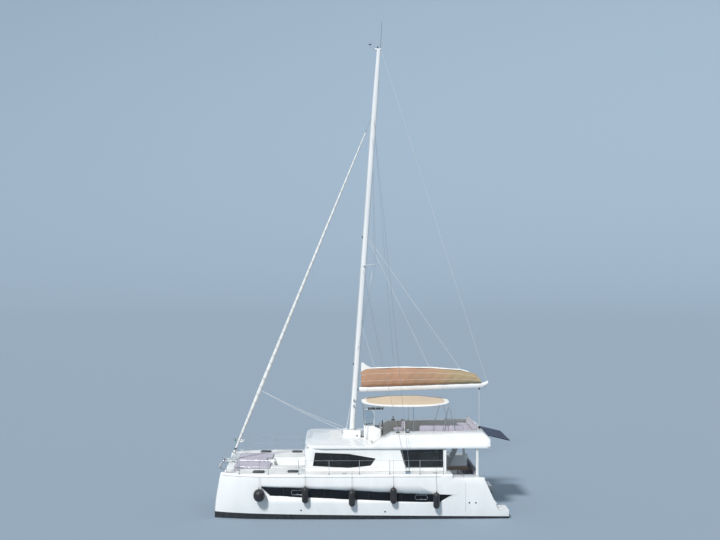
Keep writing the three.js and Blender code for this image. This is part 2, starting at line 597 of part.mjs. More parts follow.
function helmSeat() {
  const x = HELM.back - HELM.seatBehind;
  const base = block(x, x + 400, HELM.y - 400, HELM.y + 400, ROOF_Z + SEAT, ROOF_Z + 460);
  const cushion = block(x, x + 450, HELM.y - 420, HELM.y + 420, ROOF_Z + 450, ROOF_Z + 540);
  const back = profile([[x - 10, ROOF_Z + 500], [x + 90, ROOF_Z + 500], [x + 40, ROOF_Z + 900],
    [x - 40, ROOF_Z + 900]], HELM.y - 420, HELM.y + 420);
  return join(base, cushion, back);
}
add('helm_seat', shape(helmSeat()), 'cushion');

// Flybridge lounge: a moulded base along the port side and across the after end, with its cushions
const LOUNGE = { x0: -5180, x1: -2600, y0: -1600, y1: 1700, seat: ROOF_Z + 330, depth: 620 };
function lounge(z0, z1, gap) {
  return join(
    block(LOUNGE.x0 + gap, LOUNGE.x1 - gap, LOUNGE.y1 - LOUNGE.depth + gap, LOUNGE.y1 - gap, z0, z1),
    block(LOUNGE.x0 + gap, LOUNGE.x0 + LOUNGE.depth - gap, LOUNGE.y0 + gap, LOUNGE.y1 - gap, z0, z1));
}
add('lounge_base', shape(lounge(ROOF_Z + SEAT, LOUNGE.seat, 0)), 'gelcoat');
function loungeCushions() {
  const seat = lounge(LOUNGE.seat + SEAT, LOUNGE.seat + 110, 10);
  const backs = join(
    block(LOUNGE.x0 + 20, LOUNGE.x1 - 20, LOUNGE.y1 - 130, LOUNGE.y1 - 12, LOUNGE.seat + 100, LOUNGE.seat + 420),
    block(LOUNGE.x0 + 12, LOUNGE.x0 + 130, LOUNGE.y0 + 20, LOUNGE.y1 - 20, LOUNGE.seat + 100, LOUNGE.seat + 420));
  return join(seat, backs);
}
add('lounge_cushions', shape(loungeCushions()), 'cushion');

// Bimini: an arched canopy over the flybridge on a frame of bent tubes. Its plan has wide round
// corners, so that it ends in a short edge amidships
const CANOPY = { x0: -4030, x1: -80, y: 1800, end: 0.12, edgeZ: 4640, crown: 270, thick: 24 };
const canopyAlong = (x) => (2 * (x - CANOPY.x0)) / (CANOPY.x1 - CANOPY.x0) - 1;
function canopyHalf(x) {
  const round = Math.cbrt(1 - Math.abs(canopyAlong(x)) ** 3);
  return CANOPY.y * (CANOPY.end + (1 - CANOPY.end) * round);
}
function canopyZ(x, y) {
  return CANOPY.edgeZ + CANOPY.crown * (1 - (y / CANOPY.y) ** 2) * (1 - 0.75 * canopyAlong(x) ** 2);
}
function canopy() {
  const [alongSteps, acrossSteps] = [16, 10];
  const rings = [];
  for (let i = 0; i <= alongSteps; i++) {
    const share = (1 - Math.cos((Math.PI * i) / alongSteps)) / 2;
    const x = CANOPY.x1 + (CANOPY.x0 - CANOPY.x1) * share;
    const edge = [];
    for (let j = 0; j <= acrossSteps; j++) edge.push(canopyHalf(x) * (1 - (2 * j) / acrossSteps));
    rings.push([...edge.map((y) => [x, y, canopyZ(x, y)]),
      ...edge.reverse().map((y) => [x, y, canopyZ(x, y) + CANOPY.thick])]);
  }
  return loft(rings);
}
const canopyBody = canopy();
add('bimini_canopy', shape(canopyBody), 'tan_canvas');

const TUBE = 16;
function biminiFrame() {
  const pieces = [];
  const rail = (x, y) => [x, y, canopyZ(x, y) - TUBE + 3];
  const [fore, aft, out] = [-150, -3950, 1755];
  for (const x of [fore, -1400, -2680, aft]) {
    const bow = [];
    for (let j = 0; j <= 6; j++) bow.push(rail(x, (out * (3 - j)) / 3));
    pieces.push(bend(bow, TUBE, 10));
  }
  for (const [, side] of SIDES) {
    const edge = [];
    for (let k = 0; k <= 4; k++) edge.push(rail(fore + ((aft - fore) * k) / 4, side * out));
    pieces.push(bend(edge, TUBE, 10));
    const legs = [[-250, 1450, ROOF_Z + 100, fore], [-2330, 1850, COAMING_Z - 10, -2330],
      [-3620, 1850, COAMING_Z, -3900], [-4180, 1850, COAMING_Z, -3930]];
    for (const [x, y, z, head] of legs) pieces.push(bar([x, side * y, z], rail(head, side * out), TUBE));
  }
  return cut(join(...pieces), roofBody.translate([0, 0, SEAT]), canopyBody.translate([0, 0, -SEAT]));
}
add('bimini_frame', shape(biminiFrame()), 'steel');

// Mast: a raked aluminium section with one pair of swept spreaders, diamond stays and the gooseneck lug
const RAKE = (MAST_TOP.x - MAST_FOOT.x) / (MAST_TOP.z - MAST_FOOT.z);
const mastX = (z) => MAST_FOOT.x + RAKE * (z - MAST_FOOT.z);
const GOOSENECK_X = mastX(BOOM_Z) - 165;
const SPREADER = { z: 10900, x: -520, y: 1250 };
const WIRE = 7;
const RAKE_DEG = THREE.MathUtils.radToDeg(Math.atan(RAKE));
// A fitting at the gooseneck, leant back with the mast
const raked = (body) => body.translate([-GOOSENECK_X, 0, -BOOM_Z]).rotate([0, RAKE_DEG, 0])
  .translate([GOOSENECK_X, 0, BOOM_Z]);
function mastRing(z, scale) {
  const ring = [];
  const sides = 14;
  for (let k = 0; k < sides; k++) {
    const turn = (2 * Math.PI * k) / sides;
    ring.push([mastX(z) + 118 * scale * Math.cos(turn), 74 * scale * Math.sin(turn), z]);
  }
  return ring;
}
function mast() {
  const spar = loft([[MAST_FOOT.z, 1], [18600, 1], [MAST_TOP.z, 0.72]].map(([z, scale]) => mastRing(z, scale)));
  const pieces = [spar];
  for (const [, side] of SIDES) {
    const tip = [mastX(SPREADER.z) + SPREADER.x, side * SPREADER.y, SPREADER.z + 60];
    pieces.push(bar([mastX(SPREADER.z), 0, SPREADER.z], tip, 42, 24));
    pieces.push(bar(tip, [mastX(16800), side * 40, 16800], WIRE, WIRE, 6));
    pieces.push(bar(tip, [mastX(7000), side * 40, 7000], WIRE, WIRE, 6));
  }
  const lug = raked(join(block(GOOSENECK_X, GOOSENECK_X + 90, -28, 28, BOOM_Z - 30, BOOM_Z + 30),
    bar([GOOSENECK_X, 0, BOOM_Z - 30], [GOOSENECK_X, 0, BOOM_Z + 30], 28, 28, 14)));
  const masthead = block(mastX(MAST_TOP.z) - 120, mastX(MAST_TOP.z) + 180, -40, 40, MAST_TOP.z - 30, MAST_TOP.z + 40);
  const whip = bar([mastX(MAST_TOP.z) - 80, 0, MAST_TOP.z], [mastX(MAST_TOP.z) - 140, 0, 22060], 9, 6, 6);
  const vane = pipe([[mastX(MAST_TOP.z) + 150, 0, MAST_TOP.z], [mastX(MAST_TOP.z) + 420, 0, MAST_TOP.z + 120],
    [mastX(MAST_TOP.z) + 420, 0, MAST_TOP.z + 260]], 9, 6);
  return join(...pieces, lug, masthead, whip, vane);
}
const mastBody = mast();
add('mast', shape(mastBody), 'spar');

// Boom, forked at the gooseneck and turned up at its after end, with the sail stowed in its bag on top
const BOOM_RISE = 190;
const boomZ = (x) => BOOM_Z + (BOOM_RISE * (GOOSENECK_X - x)) / BOOM_LENGTH;
function boom() {
  const ring = (x, scale, lift = 0) => {
    const points = [];
    for (let k = 0; k < 12; k++) {
      const turn = (2 * Math.PI * k) / 12;
      points.push([x, 72 * scale * Math.cos(turn), boomZ(x) + lift + 112 * scale * Math.sin(turn)]);
    }
    return points;
  };
  const end = GOOSENECK_X - BOOM_LENGTH;
  const spar = loft([ring(GOOSENECK_X - 45, 0.8), ring(GOOSENECK_X - 200, 1), ring(end + 300, 1),
    ring(end + 150, 0.95, 35), ring(end, 0.8, 110)].map((points) => points.reverse()));
  const cheeks = [[30 + SEAT, 60], [-60, -30 - SEAT]].map(([z0, z1]) =>
    raked(plate(rounded(GOOSENECK_X - 90, GOOSENECK_X + 28, -26, 26, 25), BOOM_Z + z0, BOOM_Z + z1)));
  return join(spar, ...cheeks);
}
add('boom', shape(boom()), 'spar');

// Sail bag sections from the mast aft. x: place, top: height over the boom, half: widest half-breadth
const BAG_SECTIONS = [
  { x: -40, top: 860, half: 110 }, { x: -300, top: 950, half: 190 }, { x: -1700, top: 955, half: 215 },
  { x: -3200, top: 890, half: 205 }, { x: -4600, top: 745, half: 180 }, { x: -5300, top: 545, half: 150 },
  { x: -5560, top: 260, half: 110 },
];
function sailBag() {
  const base = 112 + SEAT;
  return loft(BAG_SECTIONS.map(({ x, top, half }) => {
    const rows = [[0.3, 0], [0.85, 0.12], [1, 0.35], [0.85, 0.65], [0.45, 0.9], [0.12, 1]];
    const port = rows.map(([share, up]) => [x, half * share, boomZ(x) + base + (top - base) * up]);
    return [...port, ...port.map(([px, y, z]) => [px, -y, z]).reverse()].reverse();
  }));
}
add('sail_bag', shape(sailBag()), 'tan_canvas');

// Forestay with the furled headsail and its drum, shackled to the foredeck's front edge
const STAY = { foot: [5900, 0, FOREDECK_Z + 60], head: [mastX(HOUNDS_Z) + 90, 0, HOUNDS_Z + 100] };
function furledJib() {
  const point = (t) => STAY.foot.map((v, i) => v + (STAY.head[i] - v) * t);
  const radii = [[0, 16], [0.02, 16], [0.022, 105], [0.034, 105], [0.036, 40], [0.06, 55], [0.2, 92],
    [0.5, 70], [0.8, 46], [0.955, 26], [0.96, 14], [1.0, 14]];
  const pieces = [];
  for (let k = 0; k + 1 < radii.length; k++) {
    pieces.push(bar(point(radii[k][0] - 0.0002), point(radii[k + 1][0] + 0.0002), radii[k][1], radii[k + 1][1], 8));
  }
  const shackle = block(STAY.foot[0] - 50, STAY.foot[0] + 50, -22, 22, FOREDECK_Z + SEAT, STAY.foot[2] + 20);
  return cut(join(...pieces, shackle), mastBody.translate([SEAT, 0, 0]));
}
add('furled_jib', shape(furledJib()), 'sail');

// Main shrouds: cap and lower wire of each side, on one chainplate at the deck edge
const CHAINPLATE = { x: -2050, y: 3400 };
function shrouds(side) {
  const foot = [CHAINPLATE.x, side * CHAINPLATE.y, SHEER_Z + 120];
  const cap = bar(foot, [mastX(HOUNDS_Z), side * 20, HOUNDS_Z], WIRE, WIRE, 6);
  const lower = bar([foot[0] + 130, foot[1], foot[2]], [mastX(SPREADER.z - 200), side * 20, SPREADER.z - 200],
    WIRE, WIRE, 6);
  const plateBody = block(foot[0] - 40, foot[0] + 180, foot[1] - 10, foot[1] + 10, SHEER_Z + SEAT, foot[2] + 25);
  return cut(join(cap, lower, plateBody), mastBody.translate([0, side * SEAT, 0]));
}
for (const [name, side] of SIDES) add(`shrouds_${name}`, shape(shrouds(side)), 'steel');

// Solar panels on a tube frame behind the flybridge, sloping down aft
const SOLAR = { x0: -6660, x1: -5650, z0: 3070, z1: 3310, half: 1450, thick: 35 };
function solarFrame() {
  const z = (x) => SOLAR.z0 + ((SOLAR.z1 - SOLAR.z0) * (x - SOLAR.x0)) / (SOLAR.x1 - SOLAR.x0);
  const low = 14 + SEAT;
  const pieces = [-1100, 0, 1100].map((y) =>
    bar([SOLAR.x0 + 60, y, z(SOLAR.x0 + 60) - low], [-5600, y, z(-5600) - low], 14));
  for (const x of [SOLAR.x0 + 90, SOLAR.x1 - 90]) {
    pieces.push(bar([x, -SOLAR.half + 80, z(x) - low], [x, SOLAR.half - 80, z(x) - low], 14));
  }
  return cut(join(...pieces), roofBody.translate([-SEAT, 0, 0]));
}
function solarPanels() {
  return profile([[SOLAR.x0, SOLAR.z0], [SOLAR.x1, SOLAR.z1], [SOLAR.x1, SOLAR.z1 + SOLAR.thick],
    [SOLAR.x0, SOLAR.z0 + SOLAR.thick]], -SOLAR.half, SOLAR.half);
}
add('solar_frame', shape(solarFrame()), 'steel');
add('solar_panels', shape(solarPanels()), 'solar');

// Guard rails: stanchions along the deck edge with two wires, ending forward in a pulpit
function deckEdge(x) {
  const fore = HULL_ROWS.findIndex((row) => row.x <= x);
  const [a, b] = [HULL_ROWS[fore - 1], HULL_ROWS[fore]];
  return a.out + ((b.out - a.out) * (a.x - x)) / (a.x - b.x);
}
const RAIL_HEIGHT = 610;
const TOP_WIRE_Z = SHEER_Z + RAIL_HEIGHT - 12;
const POST_X = [5250, 4000, 2700, 1400, 100, -1200, -2500, -3500];
const postOut = (x) => HULL_Y + deckEdge(x) - 75;
// Breadth of the wires at a place between two stanchions
function wireOut(x) {
  const fore = POST_X.findIndex((post) => post <= x);
  const [a, b] = [POST_X[fore - 1], POST_X[fore]];
  return postOut(a) + ((postOut(b) - postOut(a)) * (a - x)) / (a - b);
}
function guardRail(side) {
  const at = (x, z) => [x, side * postOut(x), z];
  const pieces = POST_X.map((x) => bar(at(x, SHEER_Z + SEAT), at(x, SHEER_Z + RAIL_HEIGHT), 13, 13, 6));
  for (const z of [SHEER_Z + 310, TOP_WIRE_Z]) {
    for (let k = 0; k + 1 < POST_X.length; k++) pieces.push(bar(at(POST_X[k], z), at(POST_X[k + 1], z), 6, 6, 6));
  }
  const y = side * HULL_Y;
  pieces.push(pipe([at(5250, TOP_WIRE_Z), [5950, y + side * 130, SHEER_Z + RAIL_HEIGHT + 20],
    [6060, y, SHEER_Z + RAIL_HEIGHT + 30], [5950, y - side * 130, SHEER_Z + RAIL_HEIGHT + 20],
    [5450, y - side * 260, SHEER_Z + RAIL_HEIGHT - 20], [5380, y - side * 260, SHEER_Z - 20]], 13));
  pieces.push(bar([5800, y + side * 90, SHEER_Z - 20], [5950, y + side * 130, SHEER_Z + RAIL_HEIGHT + 20], 13, 13, 6));
  return cut(join(...pieces), block(STERN_X, BOW_X, -4000, 4000, 0, SHEER_Z + SEAT));
}
const rails = {};
for (const [name, side] of SIDES) {
  rails[name] = guardRail(side);
  add(`guard_rail_${name}`, shape(rails[name]), 'steel');
}

// Fenders on the port side, hung from the upper guard wire by their lanyards
const FENDERS = [
  { name: 'fender_ball', x: 4380, z: 1110, radius: 245, half: 270 },
  { name: 'fender_1', x: 2420, z: 1110, radius: 140, half: 350 },
  { name: 'fender_2', x: 420, z: 970, radius: 140, half: 350 },
  { name: 'fender_3', x: -1350, z: 1080, radius: 140, half: 350 },
  { name: 'fender_4', x: -3190, z: 860, radius: 140, half: 350 },
];
function fender({ x, z, radius, half }) {
  const skin = [[0, -half]];
  for (let k = 0; k <= 4; k++) {
    const turn = THREE.MathUtils.degToRad(-90 + 90 * (k / 4));
    skin.push([radius * Math.cos(turn) || 1, -half + radius + radius * Math.sin(turn)]);
  }
  const upper = skin.map(([r, h]) => [r, -h]).reverse();
  const points = [...skin.slice(0, 1), ...skin.slice(2), ...upper.slice(0, -2), upper[upper.length - 1]];
  const body = new THREE.LatheGeometry(points.map(([r, h]) => new THREE.Vector2(r, h)), 16);
  const y = HULL_Y + deckEdge(x) - 20 + radius;
  const eye = [x, y, z + half + 40];
  const pieces = [solid(body.rotateX(Math.PI / 2).translate(x, y, z)), bar([x, y, z + half - 30], eye, 30, 16, 10),
    bar(eye, [x, wireOut(x) + 1, TOP_WIRE_Z], 4, 4, 6)];
  return cut(join(...pieces), hulls.port.translate([0, SEAT, 0]), rails.port.translate([0, SEAT, -SEAT]));
}
for (const row of FENDERS) add(row.name, shape(fender(row)), 'rubber');

// Sun pads on the foredeck, cut out round the step of the forward cockpit
const PADS = { x0: 4020, x1: 5600, y: 1900, notchX: 4270, notchY: 480, thick: 95 };
function foredeckPads() {
  const pads = plate(rounded(PADS.x0, PADS.x1, -PADS.y, PADS.y, 80), FOREDECK_Z + SEAT, FOREDECK_Z + PADS.thick);
  return cut(pads, block(PADS.x0 - 10, PADS.notchX, -PADS.notchY, PADS.notchY, FOREDECK_Z, FOREDECK_Z + 200));
}
add('foredeck_pads', shape(foredeckPads()), 'cushion');

// Anchor on its roller under the middle of the foredeck's front edge
function bowRoller() {
  const cheeks = [-55, 45].map((y) => profile([[5700, FOREDECK_Z + SEAT], [6200, FOREDECK_Z + SEAT],
    [6260, FOREDECK_Z + 40], [6230, FOREDECK_Z + 80], [5700, FOREDECK_Z + 60]], y, y + 10));
  const floor = block(5700, 6200, -55, 55, FOREDECK_Z + SEAT, FOREDECK_Z + 12);
  return join(...cheeks, floor).translate([0, 330, 0]);
}
add('bow_roller', shape(bowRoller()), 'steel');

function anchor() {
  const shank = profile([[5650, FOREDECK_Z + 12 + SEAT], [6225, FOREDECK_Z + 12 + SEAT], [6350, 1740],
    [6420, 1760], [6300, FOREDECK_Z + 55], [5650, FOREDECK_Z + 55]], -12, 12);
  const fluke = loft([[[6420, -16, 1770], [6400, -16, 1730], [6400, 16, 1730], [6420, 16, 1770]],
    [[6150, -180, 1640], [6140, -180, 1615], [6140, 180, 1615], [6150, 180, 1640]],
    [[6010, -20, 1660], [6005, -20, 1640], [6005, 20, 1640], [6010, 20, 1660]]]);
  return join(shank, fluke).translate([0, 330, 0]);
}
add('anchor', shape(anchor()), 'anchor');

// Deck hatches: lids hinged on their forward edges
const HATCHES = [['hatch_forward', 4450, 0, 250], ['hatch_middle', 2960, -60, 240]];
for (const [name, side] of SIDES) {
  for (const [label, x, out, half] of HATCHES) {
    const y = side * (HULL_Y + out);
    add(`${label}_${name}`, shape(plate(rounded(x - half, x + half, y - half, y + half, 70),
      SHEER_Z + SEAT, SHEER_Z + 38)), 'dark_glass');
  }
}

export default boat;
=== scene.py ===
# Sailing catamaran afloat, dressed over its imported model.
# Metres, +X to the bow, +Y to port, +Z up; the water's surface is at Z = 0.
import math

import bmesh
import bpy
from mathutils import Matrix, Vector
from mathutils.bvhtree import BVHTree


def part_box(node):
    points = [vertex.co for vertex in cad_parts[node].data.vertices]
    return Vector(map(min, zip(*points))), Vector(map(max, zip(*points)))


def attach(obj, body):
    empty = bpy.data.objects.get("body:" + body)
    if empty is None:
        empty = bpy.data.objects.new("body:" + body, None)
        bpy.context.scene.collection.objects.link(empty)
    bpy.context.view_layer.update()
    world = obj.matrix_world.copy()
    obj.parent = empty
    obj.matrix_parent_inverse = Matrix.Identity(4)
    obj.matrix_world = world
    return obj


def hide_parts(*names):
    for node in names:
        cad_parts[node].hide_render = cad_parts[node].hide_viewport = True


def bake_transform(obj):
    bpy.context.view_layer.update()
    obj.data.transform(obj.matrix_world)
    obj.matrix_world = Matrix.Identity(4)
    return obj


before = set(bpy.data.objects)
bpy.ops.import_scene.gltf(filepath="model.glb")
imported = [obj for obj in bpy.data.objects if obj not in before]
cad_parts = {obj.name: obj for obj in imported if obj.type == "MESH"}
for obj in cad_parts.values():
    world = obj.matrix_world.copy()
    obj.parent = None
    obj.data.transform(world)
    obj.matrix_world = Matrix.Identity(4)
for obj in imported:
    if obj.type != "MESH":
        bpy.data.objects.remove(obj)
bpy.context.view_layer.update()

# Camera and studio. The camera stands off the port side, at half the mast's height, with a long lens that
# keeps the photograph's view. The pale floor is the water's surface and bends up far away.
camera = bpy.data.objects.new("camera", bpy.data.cameras.new("camera"))
bpy.context.scene.collection.objects.link(camera)
camera.data.lens = 57
camera.data.clip_end = 2000
camera.location = (1.15, 52.2, 10.86)
camera.rotation_euler = (Vector((0.0, 0.0, 10.7)) - camera.location).to_track_quat("-Z", "Y").to_euler()
bpy.context.scene.camera = camera
bpy.context.scene.view_settings.view_transform = "Standard"


def set_socket(material, socket, value):
    if isinstance(value, bpy.types.NodeSocket):
        material.node_tree.links.new(value, socket)
    elif hasattr(value, "__len__") and socket.type == "RGBA":
        socket.default_value = (*value, 1)
    else:
        socket.default_value = value


def shaded(name, **values):
    """A material and its shader, with the shader's sockets set"""
    material = bpy.data.materials.new(name)
    material.use_nodes = True
    shader = material.node_tree.nodes["Principled BSDF"]
    for key, value in values.items():
        set_socket(material, shader.inputs[key.replace("_", " ")], value)
    return material, shader


def traced(bm, points):
    """A run of points joined by edges"""
    verts = [bm.verts.new(point) for point in points]
    return verts + [bm.edges.new(pair) for pair in zip(verts, verts[1:])]


def spun(bm, profile, axis, steps, weld=None):
    """A profile turned once round an axis through the origin, its ends welded if they lie on it"""
    bmesh.ops.spin(bm, geom=profile, axis=axis, cent=(0, 0, 0), steps=steps, angle=math.tau, use_merge=True)
    if weld:
        bmesh.ops.remove_doubles(bm, verts=bm.verts, dist=weld)
    bmesh.ops.recalc_face_normals(bm, faces=bm.faces)


FLOOR_REACH = 200
FLOOR_RISE = 170
floor_finish, _ = shaded("studio_floor", Roughness=0.85, Base_Color=(0.25, 0.32, 0.39))
bm = bmesh.new()
rim = [(0, 0, 0), (FLOOR_REACH, 0, 0)]
for turn in (math.radians(degrees) for degrees in range(10, 90, 10)):
    rim.append((FLOOR_REACH + FLOOR_RISE * math.sin(turn), 0, FLOOR_RISE * (1 - math.cos(turn))))
spun(bm, traced(bm, rim), (0, 0, 1), 64, 0.001)
floor_mesh = bpy.data.meshes.new("studio_floor")
bm.to_mesh(floor_mesh)
bm.free()
floor_mesh.shade_smooth()
floor_mesh.materials.append(floor_finish)
floor = bpy.data.objects.new("studio_floor", floor_mesh)
bpy.context.scene.collection.objects.link(floor)

bpy.context.scene.world = bpy.data.worlds.new("studio")
bpy.context.scene.world.use_nodes = True
sky = bpy.context.scene.world.node_tree.nodes["Background"]
sky.inputs["Color"].default_value = (0.84, 0.92, 1.0, 1)
sky.inputs["Strength"].default_value = 0.5
for name, strength, spread, direction in (("key", 3.4, 8, (-0.35, -0.8, -0.8)),
                                          ("fill", 0.25, 60, (0.6, 0.9, -0.7))):
    sun = bpy.data.objects.new(name, bpy.data.lights.new(name, "SUN"))
    bpy.context.scene.collection.objects.link(sun)
    sun.data.energy = strength
    sun.data.angle = math.radians(spread)
    sun.rotation_euler = Vector(direction).to_track_quat("-Z", "Y").to_euler()

# Hulls: glass-fibre mouldings in polished white gelcoat, laid up in one piece each. A dark boot band is
# painted along the water, higher at the bow, over black antifouling. Rain leaves faint grey runs.
SIDES = (("port", 1), ("starboard", -1))


def node_in(material, kind, inputs=(), **settings):
    """A node in a material, with its settings and what its inputs hold or are linked to"""
    made = material.node_tree.nodes.new("ShaderNode" + kind)
    for key, value in settings.items():
        setattr(made, key, value)
    for key, value in dict(inputs).items():
        set_socket(material, made.inputs[key], value)
    return made


def coated(material, shader, color, roughness):
    """Gives a shader its colour and its roughness"""
    set_socket(material, shader.inputs["Base Color"], color)
    set_socket(material, shader.inputs["Roughness"], roughness)


def own_place(material, stretch=None, turned=0.0):
    """The place on the object itself, in metres, stretched along its axes or turned about Z"""
    place = node_in(material, "TexCoord").outputs["Object"]
    if stretch is None and not turned:
        return place
    settings = {"Vector": place, "Scale": stretch or (1, 1, 1), "Rotation": (0, 0, math.radians(turned))}
    return node_in(material, "Mapping", settings).outputs["Vector"]


def own_axes(material):
    return node_in(material, "SeparateXYZ", {0: own_place(material)}).outputs


def worked_out(material, operation, *values):
    """What a Math node makes of some values"""
    return node_in(material, "Math", enumerate(values), operation=operation).outputs[0]


def noise(material, scale, detail=4, stretch=(1, 1, 1)):
    """Cloudy noise over the object's own metres, from 0 to 1"""
    settings = {"Vector": own_place(material, stretch), "Scale": scale, "Detail": detail}
    return node_in(material, "TexNoise", settings).outputs["Fac"]


def between(material, share, low, high, start=0.3, end=0.7):
    """A colour or a number that goes from low to high as share goes from start to end"""
    if not hasattr(low, "__len__"):
        return node_in(material, "MapRange", {"Value": share, "From Min": start, "From Max": end,
                                              "To Min": low, "To Max": high}).outputs["Result"]
    ramp = node_in(material, "ValToRGB", {"Fac": share})
    for element, position, color in zip(ramp.color_ramp.elements, (start, end), (low, high)):
        element.position = position
        element.color = (*color, 1)
    return ramp.outputs["Color"]


def either(material, share, first, second):
    """The first colour where share is 0, the second where it is 1"""
    mix = node_in(material, "Mix", data_type="RGBA")
    for index, value in ((0, share), (6, first), (7, second)):
        set_socket(material, mix.inputs[index], value)
    return mix.outputs[2]


def raised(material, shader, height, depth, strength=1.0):
    """Bump of a height pattern that goes from 0 to 1 over depth metres"""
    bump = node_in(material, "Bump", {"Height": height, "Distance": depth, "Strength": strength})
    set_socket(material, shader.inputs["Normal"], bump.outputs["Normal"])


def weathered_white(name, tint=(0.86, 0.865, 0.85), runs=(0.79, 0.8, 0.785), roughness=(0.16, 0.3)):
    material, shader = shaded(name, Coat_Weight=0.3, Coat_Roughness=0.08)
    coated(material, shader, between(material, noise(material, 2.2, 6, (1, 1, 0.16)), tint, runs),
           between(material, noise(material, 1.4), *roughness))
    raised(material, shader, noise(material, 26, 2), 0.0006, 0.35)
    return material, shader


def piece(name, bm, finish, body="boat", nodes=(), smooth=40):
    """A finished mesh as a piece that rides on a body, or on none"""
    mesh = bpy.data.meshes.new(name)
    bm.to_mesh(mesh)
    bm.free()
    for material in finish if isinstance(finish, (list, tuple)) else [finish]:
        mesh.materials.append(material)
    if smooth:
        mesh.shade_smooth()
        mesh.set_sharp_from_angle(angle=math.radians(smooth))
    made = bpy.data.objects.new(name, mesh)
    bpy.context.scene.collection.objects.link(made)
    if body:
        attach(made, body)
    if nodes:
        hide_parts(*nodes)
    return made


def node_shape(node, flat=1.0):
    """A copy of a node's mesh, its loose triangles joined and its flat faces made whole"""
    bm = bmesh.new()
    bm.from_mesh(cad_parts[node].data)
    bmesh.ops.remove_doubles(bm, verts=bm.verts, dist=0.0002)
    bmesh.ops.dissolve_limit(bm, angle_limit=math.radians(flat), verts=bm.verts, edges=bm.edges)
    return bm


def round_edges(bm, width, least=25, keep=lambda edge: True):
    """Rounds the edges whose faces meet at more than least degrees"""
    chosen = [e for e in bm.edges if e.is_manifold and math.degrees(e.calc_face_angle(0)) > least and keep(e)]
    bmesh.ops.bevel(bm, geom=chosen, offset=width, segments=2, profile=0.5, affect="EDGES",
                    material=-1, clamp_overlap=True)


def moulded(node, finish, width, slot_name="gelcoat", body="boat", flat=1.0, **rounding):
    bm = node_shape(node, flat)
    round_edges(bm, width, **rounding)
    return piece(node + "_moulding", bm, finish, body, [node])


gelcoat, _ = weathered_white("white_gelcoat")
painted_hull, shader = weathered_white("hull_paint")
white = shader.inputs["Base Color"].links[0].from_socket
BOOT_TOP = 0.185
BOOT_RISE = 0.014
SHARP_BELOW = 1.5
place = own_axes(painted_hull)
top = worked_out(painted_hull, "MULTIPLY_ADD", place["X"], BOOT_RISE, BOOT_TOP)
above = worked_out(painted_hull, "GREATER_THAN", place["Z"], top)
boot = between(painted_hull, noise(painted_hull, 6), (0.012, 0.013, 0.015), (0.03, 0.032, 0.035))
set_socket(painted_hull, shader.inputs["Base Color"], either(painted_hull, above, boot, white))
for name, side in SIDES:
    moulded(f"hull_{name}", painted_hull, 0.02, flat=0.1,
            keep=lambda e: min(v.co.z for v in e.verts) > SHARP_BELOW)

# Hull windows: tinted glass bonded into the recess along each hull, on a black rubber bed that shows
# as a thin bead all round. Slim bars part the panes, and two lights in each hull open in steel frames.
def tinted(name, color=(0.005, 0.006, 0.008), see_through=0.0):
    material, shader = shaded(name, IOR=1.45, Transmission_Weight=see_through, Specular_IOR_Level=0.25)
    cast = tuple(2.2 * part for part in color)
    coated(material, shader, between(material, noise(material, 1.1, 2), color, cast),
           between(material, noise(material, 3), 0.03, 0.1))
    raised(material, shader, noise(material, 1.5, 1), 0.004, 0.15)
    return material


def black_rubber(name, color=(0.012, 0.012, 0.013), roughness=(0.5, 0.72)):
    material, shader = shaded(name, Sheen_Weight=0.1)
    worn = tuple(2.5 * part for part in color)
    coated(material, shader, between(material, noise(material, 5), color, worn, 0.4, 0.8),
           between(material, noise(material, 9), *roughness))
    raised(material, shader, noise(material, 180, 2), 0.0008, 0.4)
    return material


def metal(name, color, roughness, brushed=(1, 1, 12), grain=60):
    material, shader = shaded(name, Metallic=1.0)
    dull = tuple(0.72 * part for part in color)
    coated(material, shader, between(material, noise(material, 7), color, dull, 0.45, 0.85),
           between(material, noise(material, grain, 3, brushed), *roughness))
    raised(material, shader, noise(material, grain, 3, brushed), 0.0003, 0.3)
    return material


hull_glass = tinted("hull_glass")
rubber = black_rubber("black_rubber")
steel = metal("polished_steel", (0.78, 0.79, 0.8), (0.1, 0.28))


def set_paint(verts, index):
    for face in {face for vert in verts for face in vert.link_faces}:
        face.material_index = index


def join_in(bm, part, index=None):
    """Adds one mesh in the making to another, all in one finish if that is given"""
    if index is not None:
        set_paint(part.verts, index)
    mesh = bpy.data.meshes.new("part")
    part.to_mesh(mesh)
    part.free()
    bm.from_mesh(mesh)
    bpy.data.meshes.remove(mesh)


def tube_in(bm, runs, radius, smooth=False, closed=False, index=0, fine=2):
    """Round tubes along runs of points, straight between them or on a smooth curve through them"""
    curve = bpy.data.curves.new("run", "CURVE")
    curve.dimensions = "3D"
    curve.bevel_depth = radius
    curve.bevel_resolution = fine
    curve.resolution_u = 6
    curve.use_fill_caps = True
    for run in runs:
        spline = curve.splines.new("BEZIER" if smooth else "POLY")
        points = spline.bezier_points if smooth else spline.points
        points.add(len(run) - 1)
        for point, place in zip(points, run):
            point.co = tuple(place) if smooth else (*place, 1)
            if smooth:
                point.handle_left_type = point.handle_right_type = "AUTO"
        spline.use_cyclic_u = closed
    holder = bpy.data.objects.new("run", curve)
    bpy.context.scene.collection.objects.link(holder)
    mesh = bpy.data.meshes.new_from_object(holder)
    tube = bmesh.new()
    tube.from_mesh(mesh)
    bmesh.ops.remove_doubles(tube, verts=tube.verts, dist=0.0003)
    join_in(bm, tube, index)
    bpy.data.objects.remove(holder)
    bpy.data.meshes.remove(mesh)
    bpy.data.curves.remove(curve)


CORNER_STEPS = 4


